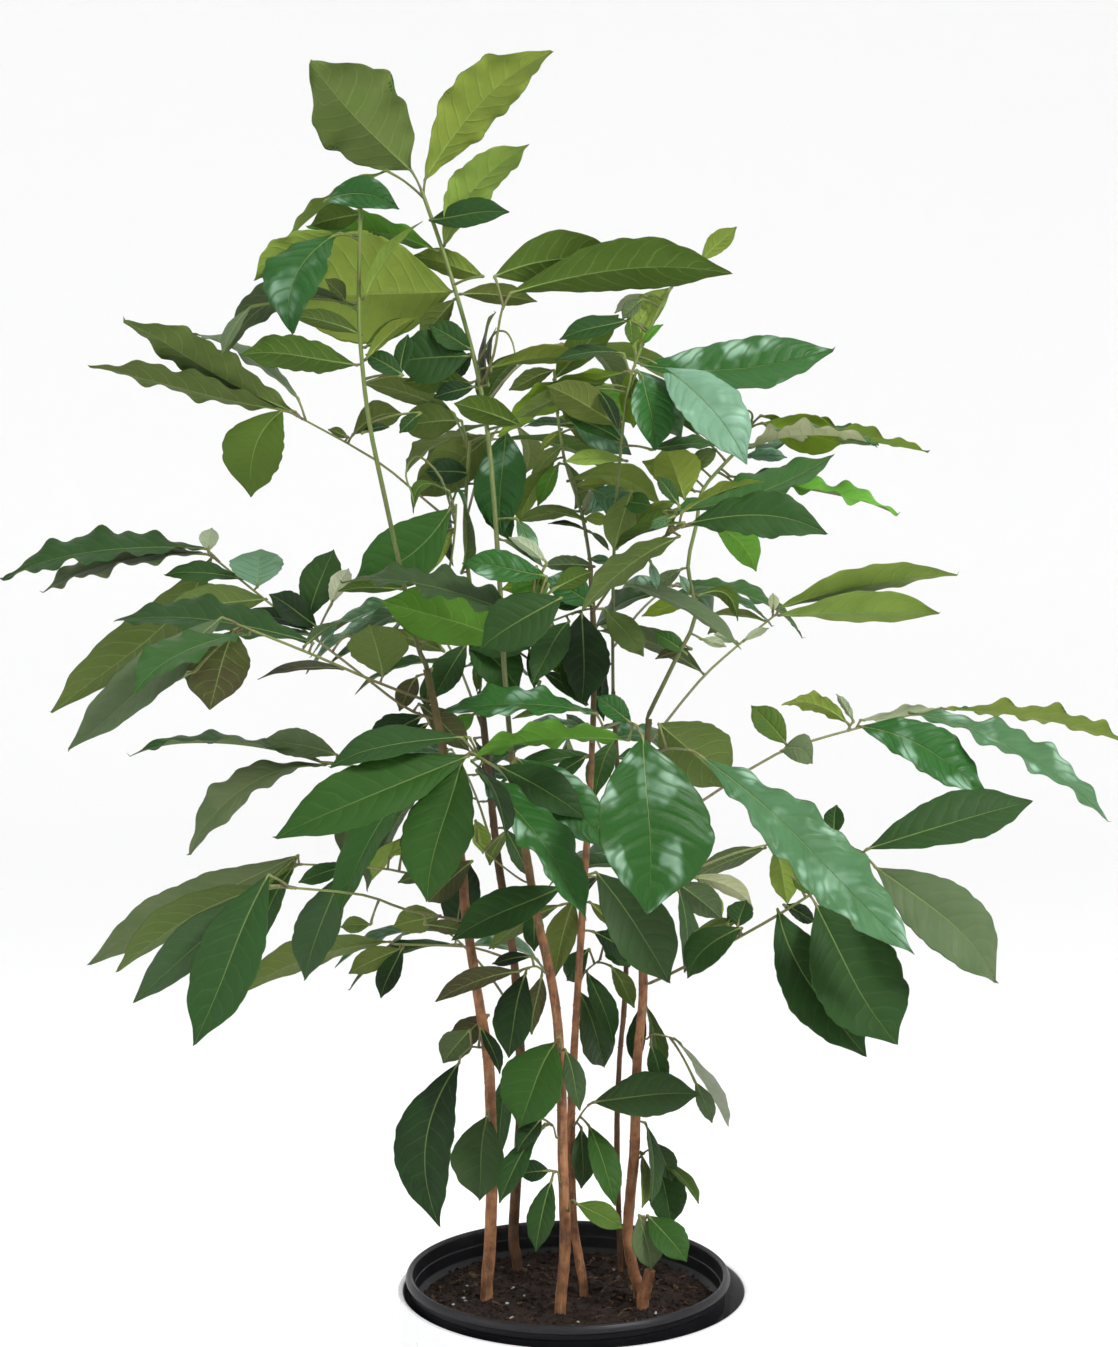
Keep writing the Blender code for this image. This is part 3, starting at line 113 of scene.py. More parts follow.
# Name: radii at foot and top in cm, depths at foot and top, points across and up
TRUNKS = {
    "trunk_left": (
        (0.50, 0.29), (0.0, -1.0),
        [(-7.1, 22.5), (-6.8, 27), (-6.65, 34), (-6.9, 42), (-7.6, 46.5), (-8.7, 54),
         (-9.0, 58), (-9.7, 63), (-10.6, 68), (-11.8, 73.8)],
    ),
    "trunk_back_left": (
        (0.44, 0.27), (7.5, 6.5),
        [(-4.6, 25), (-4.9, 28), (-4.4, 36), (-4.3, 42), (-4.8, 50), (-5.9, 57), (-6.4, 61),
         (-7.5, 72)],
    ),
    "trunk_front": (
        (0.46, 0.28), (-3.6, -4.0),
        [(-1.1, 21.3), (-0.7, 27), (-0.9, 34), (-1.0, 39.4), (-1.4, 46), (-2.3, 51),
         (-3.0, 54), (-4.0, 60), (-5.0, 67)],
    ),
    "trunk_middle": (
        (0.36, 0.20), (0.6, 1.2),
        [(0.8, 22.7), (0.4, 26), (-0.1, 30), (-0.2, 38), (0.2, 46), (0.8, 56), (1.4, 66),
         (1.6, 75), (1.3, 82)],
    ),
    "trunk_back_right": (
        (0.24, 0.18), (6.8, 7.0),
        [(3.8, 24.8), (3.5, 34.5), (3.65, 41.5), (4.1, 47), (4.2, 52), (3.8, 60), (3.15, 72)],
    ),
    "trunk_right": (
        (0.46, 0.26), (0.0, -0.5),
        [(5.3, 22.5), (4.8, 25), (4.4, 28.5), (4.9, 34.6), (5.1, 41.6), (5.6, 48), (5.3, 53),
         (5.5, 60), (6.0, 69.8)],
    ),
    "trunk_stump": (
        (0.50, 0.42), (-2.0, -2.0),
        [(5.6, 21.9), (5.75, 22.9), (6.2, 24.9)],
    ),
}


def leaf(side, tone, x, y, tip_x, tip_y, width, wave=0, bow=0.0, toward=0.0):
    """A leaflet from its base to its tip, in cm across and up. Side T shows its top face, U its
    underside. Width is as seen. Bow lifts its middle, and toward brings its tip nearer."""
    return side, tone, (x, y), (tip_x, tip_y), width, wave, bow, toward


upper, lower = partial(leaf, "T"), partial(leaf, "U")

# Name: stem and height it grows from (None goes on from the stem's end), stalk radius in cm,
# stalk points across, up and back, and leaflets
SPRAYS = {
    "spray_front": (("trunk_middle", 68), 0.13, [
        (2.4, 69, -5), (4, 69.6, -12), (5, 69.3, -16)], [
        upper("deep", 5.5, 68.3, 5.9, 54, 9.2), lower("bright", 4.4, 68.1, -8.5, 66.7, 2.4, 2),
        upper("gloss", 1.8, 70.2, -10.5, 70.3, 2.8, 2),
    ]),
    "spray_front_right": (("trunk_right", 66.5), 0.13, [
        (7.4, 67.4, -4.5), (9.3, 67.3, -13)], [
        upper("silver", 10.3, 66.7, 27.5, 50.7, 5.8, 2, -0.02),
        lower("olive", 6.8, 69.4, 12.4, 64.2, 5.6),
    ]),
    "spray_front_left": (("trunk_front", 64), 0.13, [
        (-5.6, 65.4, -8), (-7.4, 66.6, -12), (-8.4, 67.2, -13)], [
        upper("mid", -9, 66.3, -11.9, 55, 5.6), upper("mid", -8.5, 66.8, -24.3, 60.3, 5, 0, -0.03),
        upper("deep", -7.8, 65.6, 1, 53.4, 4, 1), upper("gloss", -4.6, 66.6, 3.2, 59.2, 4),
        upper("dark", -9, 68.3, -19.8, 66, 2.6), upper("dark", -6, 66, 1, 61.8, 3.4),
    ]),
    "spray_low_left_front": (("trunk_left", 53.7), 0.12, [
        (-13.5, 54.4, -6), (-17, 55.6, -10), (-23, 56.2, -15)], [
        upper("dark", -24.6, 57.2, -30.8, 43.3, 5.2, 0, -0.02),
        upper("dusk", -25, 56, -35.6, 46.8, 3.4, 0, -0.04),
        lower("olive", -24.5, 56.3, -37, 49.3, 3), lower("olive", -10.8, 53.9, -14.6, 53, 2.4),
    ]),
    "spray_low_left": (("trunk_left", 57), 0.12, [
        (-13, 57.3, 1), (-16, 57.8, 3), (-22.5, 58.1, 7)], [
        upper("grey", -22.6, 58.6, -39.3, 49.9, 3.7, 0, -0.03),
        upper("dusk", -18.7, 57.2, -21.8, 48.6, 3.6), upper("dark", -18, 58, -22.2, 56.6, 1.6),
        lower("olive", -22.2, 58.8, -27.5, 53.5, 3),
    ]),
    "spray_low_right": (("trunk_right", 48.5), 0.14, [
        (9, 49.8, -2.5), (13.9, 52.5, -6), (17.3, 54.5, -8.5), (21, 57, -10.5),
        (23.3, 59, -11.5)], [
        upper("dark", 19.5, 54.8, 26.2, 43.4, 7.4, 0, -0.06),
        upper("grey", 24.3, 57.8, 34.3, 48.4, 5.6, 0, 0.04),
        upper("dark", 16.4, 54.4, 23.7, 42.4, 5.4, 0, -0.09),
        upper("dark", 23.6, 59.3, 36.9, 63.2, 4.3, 0, -0.03),
        upper("dark", 20.9, 60.4, 21.1, 62.9, 1.7), upper("dark", 13.2, 53, 13.9, 55.2, 2.2),
        upper("dark", 13.5, 52.9, 9.1, 48.8, 3, 0, 0.1),
    ]),
    "spray_mid_right": (("trunk_right", 61), 0.13, [
        (10, 63, -0.5), (16.3, 67, 1.5), (22.9, 69.1, 4), (29.5, 70.7, 7)], [
        upper("gloss", 22.9, 69.2, 33.2, 63.6, 4.3, 1, 0.05),
        upper("silver", 26.9, 70.3, 43.3, 61.5, 2.9, 2, 0.02),
        lower("lime", 29.7, 70.6, 45.3, 67.4, 2, 2, -0.02),
        lower("pale", 23, 69.7, 29.3, 70.5, 1.3, 1, -0.08),
        lower("lime", 22, 69.4, 16.6, 70.9, 1.8, 2, 0.1),
        upper("shade", 17, 67.8, 14.2, 70.9, 2.4),
        upper("grey", 16.6, 67.2, 19.2, 66.2, 2.4, 0, 0.25),
    ]),
    "spray_upper_right": (("trunk_middle", 78.5), 0.12, [
        (3.6, 81.2, -5), (6.6, 84, -10), (8.8, 85.3, -13)], [
        upper("mid", 7.2, 86.4, 20.8, 91, 2.8, 1, -0.13),
        upper("dark", 9.2, 85.4, 20.3, 84.6, 4, 1, 0.06),
        lower("bright", 11.2, 85.2, 14.6, 81.6, 2.6, 0, 0.1),
        lower("olive", 8.4, 84.4, 0.5, 78.5, 2.6, 1), upper("grey", 4.2, 80.6, 13.4, 75.3, 1.5),
    ]),
    "spray_centre": (("shoot_top", 75.5), 0.12, [
        (-4.4, 77.3, -8), (-2.8, 79, -10)], [
        upper("dusk", -3, 77.4, -18.8, 81, 2.8, 2), upper("gloss", -2.2, 81.2, -9, 82.3, 2.6),
        upper("dark", -1, 79.5, -7.5, 75.5, 4.5), lower("bright", -5, 75.8, -15.5, 79.3, 4.8),
        lower("shade", -1.6, 80.2, 1.4, 81.6, 1.8), lower("bright", -3, 82, -3.5, 78.6, 3),
    ]),
    "spray_centre_low": (("trunk_back_left", 70.5), 0.12, [
        (-6.8, 73, 2.5), (-4, 76.5, 2), (0.2, 78.4, 1)], [
        upper("black", 0.6, 78.3, 0.6, 71, 4), upper("mid", -8.4, 76.6, -4.4, 72.1, 3.8),
        upper("olive", 2.4, 78.6, 5.6, 74.8, 2.4),
    ]),
    "shoot_left": (("trunk_left", None), 0.26, [
        (-12.6, 76, -1.3), (-13.9, 82, -2.4), (-15.2, 88, -3.4), (-16.4, 94, -4.2), (-17, 100, -5),
        (-17.1, 104, -5), (-16.9, 110.5, -5)], [
        upper("deep", -19, 108.2, -22.4, 100.4, 4.9, 1, 0.14),
        lower("lime", -18.6, 108.4, -25.5, 104.7, 3.2, 1),
        upper("deep", -19.8, 110.9, -13.8, 110.3, 2.6, 0, 0.12),
        lower("grey", -17.2, 102.5, -28, 98.8, 2.5, 1, 0.17),
        lower("shade", -17.3, 98, -26.7, 98.9, 3.2, 1),
    ]),
    "shoot_top": (("trunk_front", None), 0.27, [
        (-5.6, 74, -3.8), (-5.9, 80, -3.2), (-6.6, 90, -2), (-7.4, 96, -1), (-8.6, 101, 0),
        (-10.3, 106.7, 1), (-12.1, 111.8, 1)], [
        lower("olive", -12.9, 113.3, -20.8, 122, 8, 1, -0.07),
        lower("lime", -11.8, 112.6, -1.6, 122.6, 5, 1, 0.05),
        lower("lime", -10.3, 107.4, -3.5, 115.4, 3.7, 1, 0.07),
        lower("lime", -9.7, 103.8, -23, 102.8, 9.2),
        lower("bright", -10.9, 107, -21.3, 109, 2.6, 1),
        upper("dark", -11.4, 109.4, -5.1, 110.1, 2.3), upper("dark", -8.4, 98.7, -14.2, 98.2, 4.4),
        lower("olive", -9, 103.6, -2.9, 103, 1.8), lower("lime", -6.6, 97.8, 1, 98.5, 1.6),
    ]),
    "spray_top_right": (("shoot_top", 96.5), 0.13, [
        (-6.4, 98.8, -3), (-5.9, 101.6, -4.5), (-5.6, 102.8, -5)], [
        lower("shade", -6.3, 105, 3.8, 106.6, 4.4, 0, 0.03),
        lower("shade", -5, 103.7, 12.6, 105.2, 4.2, 0, 0.02),
    ]),
    "shoot_bright": (("trunk_back_right", None), 0.18, [
        (3.1, 79, 4), (3.3, 86, 0), (3.7, 91, -3), (4.6, 97.4, -4), (7.6, 104, -3.5),
        (10.1, 106.2, -3)], [
        upper("deep", 5.4, 98, 20.8, 99.5, 4.2, 0, -0.11),
        upper("mint", 7, 97.8, 13.8, 90.1, 4.6, 0, 0.04),
        upper("gloss", 5.4, 97.2, 6.5, 91.2, 3.4),
        lower("lime", 4.9, 98.9, 7.9, 104.2, 2.4, 0, 0.13),
        lower("lime", 10.1, 106.2, 12.9, 108.9, 1.7),
        lower("yellow", 4.2, 97.5, -6.2, 92.4, 2.6, 1), lower("pale", 6.2, 103.5, 3.2, 102.1, 1),
        upper("lime", 4.2, 90.4, -0.8, 90.4, 1.3),
    ]),
    "shoot_middle": (("trunk_middle", None), 0.19, [
        (0.6, 86.3, 2), (-0.8, 90.7, 2.6), (-1.5, 95.6, 3)], [
        lower("shade", -1.6, 96.9, 3.6, 102, 2.8), lower("olive", -1, 94.5, 4, 92.8, 4.4),
        lower("bright", -0.6, 96.6, 4.6, 93.4, 2.8, 0, 0, -2),
        upper("silver", -0.1, 93.4, 4.6, 90.9, 2.4), lower("lime", -1.5, 90.5, -4.6, 85.4, 1.8),
        lower("olive", 0.4, 86.4, -4.5, 85.6, 1.3), upper("silver", 1.4, 88.2, 5, 85.8, 2.5),
        lower("lime", -0.5, 88.8, 7, 86.8, 2.2, 0, 0.1, -3),
    ]),
    "shoot_back": (("trunk_back_left", None), 0.24, [
        (-8, 78, 6.4), (-8.7, 84, 5.6), (-8.6, 88, 5), (-8.3, 92, 4.6)], [
        upper("deep", -5.4, 92.8, -5.8, 84.4, 4.2),
        lower("olive", -6.6, 92.5, -12.9, 87.6, 4, 0, -0.05),
        upper("mid", -7.6, 88.5, -5, 84, 2.4), lower("olive", -9, 93.6, -13.9, 93.2, 3),
        lower("olive", -9.6, 94.2, -16.8, 96.6, 2), upper("dark", -9.2, 89.5, -11.9, 89.6, 2),
    ]),
    "shoot_fork": (("shoot_left", 75.6), 0.15, [
        (-11, 77, 0.4), (-10.3, 80, 0.6), (-9.6, 84, 0.6), (-9.4, 87, 0.4)], [
        upper("mid", -9.9, 86.6, -17.6, 81, 5, 0, -0.14),
        lower("pale", -9.9, 85, -13.8, 81.7, 2.6),
        upper("shade", -10, 88, -12.8, 86.2, 0.9, 0, 0.4),
    ]),
    "spray_top_left": (("shoot_fork", 85.6), 0.12, [
        (-12, 87.4, 2), (-16, 90.6, 4.5), (-22.1, 94, 8)], [
        upper("shade", -23.2, 94.4, -25.8, 87.5, 4.9, 0, 0.11),
        lower("olive", -22.2, 94.3, -35.8, 101.9, 3.6, 1, -0.08),
        lower("olive", -23.5, 94.5, -38.7, 98, 2.4, 1, -0.07),
        upper("grey", -22, 95.4, -30.6, 100.6, 1.5, 1),
        lower("olive", -17.6, 92.5, -13.6, 94.1, 2.4, 0, 0.12),
        lower("olive", -18, 92.3, -19.6, 92.9, 0.8),
    ]),
    "shoot_right": (("trunk_right", None), 0.22, [
        (8, 74.3, -0.4), (9.7, 78, 0), (9.1, 82, 0.6), (9.8, 85.5, 1.2), (10.2, 88, 1.6),
        (12, 90.2, 2), (13.2, 91.5, 2.2), (14.2, 93.4, 2.4)], [
        lower("yellow", 14.9, 94, 28.4, 91.3, 1.6, 2, -0.09),
        lower("yellow", 15, 93.4, 21.4, 91.8, 3.2, 0, -0.04),
        lower("pale", 13.8, 91.4, 24.3, 91.6, 1.5, 2),
        upper("bright", 12.4, 89.2, 26.1, 86.4, 1.8, 2, -0.05),
        lower("lime", 8.8, 87.4, 7.2, 91.6, 4), upper("olive", 9, 89.4, 11.4, 91.4, 1.5),
        lower("shade", 9.9, 79.7, 13.1, 77.6, 1.3, 0, 0.3), upper("grey", 8.6, 81.8, 6.2, 80, 1.2),
    ]),
    "spray_high_right": (("trunk_right", 68.2), 0.13, [
        (10, 72.8, 3.5), (13, 75.6, 7), (16.3, 78.3, 11)], [
        lower("lime", 16.4, 78.7, 30.8, 81.7, 2.3, 0, -0.04),
        lower("lime", 16.4, 78.1, 29.4, 78.5, 2.6, 0, -0.05),
        lower("grey", 10.4, 73.4, 1.9, 77, 1.9, 0, 0.02),
        upper("pale", 15.9, 78.4, 15.9, 79.9, 0.9), lower("pale", 13, 76, 11.2, 76.6, 0.9),
    ]),
    "spray_mid_left": (("trunk_left", 70), 0.13, [
        (-13.8, 70.9, 0), (-17.7, 73.9, 3), (-24.5, 79.2, 7), (-29, 82.9, 10)], [
        upper("dark", -29.3, 83.4, -46, 81.1, 3, 2), upper("grey", -29.5, 83, -42.8, 80.1, 2.6, 2),
        lower("olive", -28.9, 82.8, -42.2, 70.5, 4.2, 0, -0.1),
        lower("mint", -25.3, 80.4, -25, 83.4, 4.4), lower("olive", -24.6, 79.4, -33, 78.2, 3),
        upper("dark", -26.5, 81, -32.8, 81.4, 1.8, 1),
        upper("dark", -21.2, 77.9, -19.2, 83.4, 3.2),
        upper("black", -20.6, 77.2, -24.4, 79.8, 2.4),
        lower("pale", -29.2, 83.2, -28.9, 85.1, 1.6),
    ]),
    "spray_mid_left_front": (("trunk_left", 71.4), 0.13, [
        (-15.9, 72.8, -4.5), (-21, 75, -9), (-27, 77.4, -13)], [
        upper("grey", -28.2, 77.9, -40.6, 67.1, 3.8, 0, -0.05),
        upper("dark", -20.9, 75.9, -36.9, 77.5, 3.2, 1),
        lower("brownish", -27.2, 76.9, -29.2, 70.5, 5.4),
        upper("mid", -26, 76.6, -35.4, 72.1, 2.8, 1), lower("olive", -15.3, 73.3, -16.4, 77.4, 5),
        upper("brown", -18.5, 73.8, -25.4, 73, 0.9),
    ]),
    "spray_narrow_left": (("trunk_left", 64.5), 0.12, [
        (-13, 65.5, 3.5), (-19.5, 66.2, 7.5)], [
        upper("grey", -20, 66.1, -31.2, 58.8, 3, 1, 0.09),
        upper("grey", -19, 66.9, -25, 68.2, 2.4), upper("dark", -20.2, 66.3, -36, 67.2, 1.1, 1),
        upper("mid", -12.8, 64.9, -19.1, 53.6, 2.8), lower("grey", -12, 64.4, -16.6, 55.8, 2),
        lower("grey", -16, 65, -18.7, 58.9, 1.4),
    ]),
    "spray_lowest_left": (("trunk_back_left", 50.6), 0.12, [
        (-8, 51.3, 7.5), (-10.8, 51.5, 9), (-14.7, 51.6, 11)], [
        lower("olive", -14.8, 51.8, -27, 47.8, 2.6), lower("olive", -14, 51.2, -18.2, 49.2, 2),
        upper("black", -13.8, 51.3, -15.6, 47.2, 1.9), upper("black", -9.5, 52.2, -8.4, 58.3, 3.3),
    ]),
    "spray_inner_right": (("trunk_right", 56.4), 0.12, [
        (9, 57.4, 3), (13, 59, 7), (16.6, 59.9, 10)], [
        lower("lime", 16.2, 59.4, 17.2, 54.8, 2.4),
        lower("grey", 15.4, 59.4, 9.6, 57, 1.7, 0, -0.02),
        lower("pale", 9.5, 57, 14.5, 54.6, 1.6, 0, 0.06), lower("grey", 8.2, 56.6, 12, 53.6, 2.6),
    ]),
    "sprig_middle": (("trunk_middle", 55), 0.11, [
        (0.6, 56.2, -2.5), (0.4, 56.9, -5.5)], [
        upper("dusk", 1.8, 57.4, 7.8, 48.4, 5.2), upper("dark", -1, 56.2, -9.9, 51.9, 3.4),
        lower("olive", 0, 55.2, -1.6, 48.8, 2.6), lower("olive", -1, 54.8, -6.9, 51.2, 1.8),
        lower("olive", 1.3, 55, 3.1, 53, 1),
    ]),
    "sprig_crossing": (("trunk_front", 56.8), 0.09, [
        (-4.8, 57.2, -5.4), (-6.8, 58.8, -5.6), (-7.9, 60, -5.6)], [
        lower("lime", -7.9, 61.6, -7.3, 58.9, 1.6), lower("olive", -5.6, 60.6, -6.8, 58, 1.3),
    ]),
    "sprig_back_middle": (("trunk_middle", 47.6), 0.1, [
        (0.8, 49.2, 3), (2.2, 50.4, 4)], [
        upper("dusk", 0.4, 47.8, 2.5, 41.5, 3), upper("dark", 2.8, 52.8, 4.5, 49.7, 3),
        lower("olive", 3, 49.8, 4.9, 46.4, 1.6), upper("dark", 1.2, 51.2, -0.6, 48.6, 2),
    ]),
    "sprig_front_high": (("trunk_front", 49.4), 0.1, [
        (-3, 49.8, -6), (-3.9, 49.6, -7)], [
        upper("black", -3.9, 49.2, -5.3, 42.3, 3.2), lower("brownish", -4.4, 49.4, -11.3, 47, 1.8),
    ]),
    "sprig_left": (("trunk_left", 43.4), 0.1, [
        (-8.4, 43.2, -2), (-9.2, 42.4, -3.5)], [
        upper("black", -9.3, 41.9, -10.8, 28.4, 4.8, 0, 0.12),
        lower("grey", -8.4, 44.6, -10.6, 41.9, 2.6), upper("black", -7.5, 44.8, -6, 41, 1.2),
    ]),
    "sprig_left_low": (("trunk_left", 37.4), 0.09, [
        (-6.9, 38.2, -1.6), (-7, 38, -2.6)], [
        upper("dusk", -7, 37.6, -7.7, 30.6, 4.4),
    ]),
    "sprig_front": (("trunk_front", 43), 0.1, [
        (-1.1, 44, -5.2), (-1.4, 44, -6.4)], [
        upper("mid", -1.5, 43.6, -4.5, 36.6, 5.2), upper("dusk", -0.7, 43, 0.5, 38, 1.8),
    ]),
    "sprig_front_low": (("trunk_front", 36), 0.09, [
        (-1.7, 36.8, -4.6), (-2.4, 37, -5)], [
        upper("dark", -3, 36.2, -6.1, 30.4, 2), upper("black", -2.5, 36.6, -4.6, 34.8, 1.8),
    ]),
    "sprig_front_foot": (("trunk_front", 32.4), 0.09, [
        (-1.3, 33, -4.6), (-1.7, 33, -5.2)], [
        upper("dark", -1.8, 32.3, -3.1, 26.4, 2.3), upper("black", -2, 33.1, -4.4, 32.8, 1.8),
    ]),
    "sprig_front_right": (("trunk_front", 30), 0.09, [
        (-0.3, 30.6, -4.6), (0, 30.7, -5.2)], [
        upper("shade", 0.2, 30.4, 4, 28.3, 2),
    ]),
    "sprig_middle_low": (("trunk_middle", 37), 0.1, [
        (0.7, 37.9, -1.4), (1.2, 38.5, -2.6)], [
        upper("dusk", 1.6, 38.7, 10.2, 39.4, 3.7), upper("mid", 1.2, 36.8, 3.4, 30.2, 2.4),
        upper("dusk", 0.6, 36.6, 0.6, 31.6, 2),
    ]),
    "sprig_right": (("trunk_right", 43.9), 0.09, [
        (6.5, 44.3, 0.2), (8.2, 43.9, 0.4)], [
        lower("dry", 8.6, 43.5, 12.6, 36.7, 1.2, 0, -0.05), upper("dark", 6.2, 43.4, 7.2, 40, 1.8),
    ]),
    "sprig_right_low": (("trunk_right", 34), 0.1, [
        (6, 34.8, 1.4), (6.6, 34.6, 2)], [
        upper("dark", 6.8, 33.6, 7.9, 28.6, 3.2), upper("dusk", 6.6, 35.4, 8, 32.2, 1.8),
        upper("shade", 7.2, 33.9, 10.2, 30.4, 1),
    ]),
    "sprig_stump": (("trunk_stump", None), 0.13, [
        (6, 26.6, -2.4), (5.7, 29.4, -3.2)], [
        upper("grey", 5.3, 29.4, 6.3, 24.9, 2.6), upper("mid", 6, 29.4, 9.2, 25.6, 2.8),
    ]),
}

# Sprays on the far side: stem and height, compass turn, reach, rise and leaflet pairs
FAR_SPRAYS = [
    ("trunk_back_left", 46.0, 118, 0.15, 0.05, 2),
    ("trunk_back_right", 52.0, 84, 0.18, 0.05, 2),
    ("trunk_back_left", 58.0, 104, 0.20, 0.08, 3),
    ("trunk_back_right", 63.0, 96, 0.22, 0.05, 3),
    ("trunk_back_left", 69.0, 108, 0.19, 0.09, 3),
    ("shoot_back", 77.0, 106, 0.16, 0.02, 2),
    ("shoot_bright", 75.5, 70, 0.18, 0.05, 2),
    ("shoot_back", 86.0, 80, 0.16, 0.09, 2),
    ("shoot_top", 95.0, 64, 0.14, 0.06, 1),
]
FAR_RUNS = (0.35, 0.7, 1.0)
FAR_RADII = (0.0013, 0.0012, 0.0011, 0.0010, 0.0009)
FAR_LEAFLET = 0.115
FAR_SPREAD = (48, 66)  # degrees between a leaflet and its stalk
FAR_LENGTHS = (0.82, 1.12)
FAR_DROOP = (0.22, 0.5)
FAR_WAVES = (0, 1, 1)
FAR_BOW = 0.05
FAR_GAP = 0.008
FAR_WIDTH = 0.40  # against its length, where it is seen face on
FAR_NARROWEST = 0.35
PAIR_SPACE = 0.24
PAIR_HANDS = ((0.94, 1), (0.91, -1))
FAR_SEED = 7

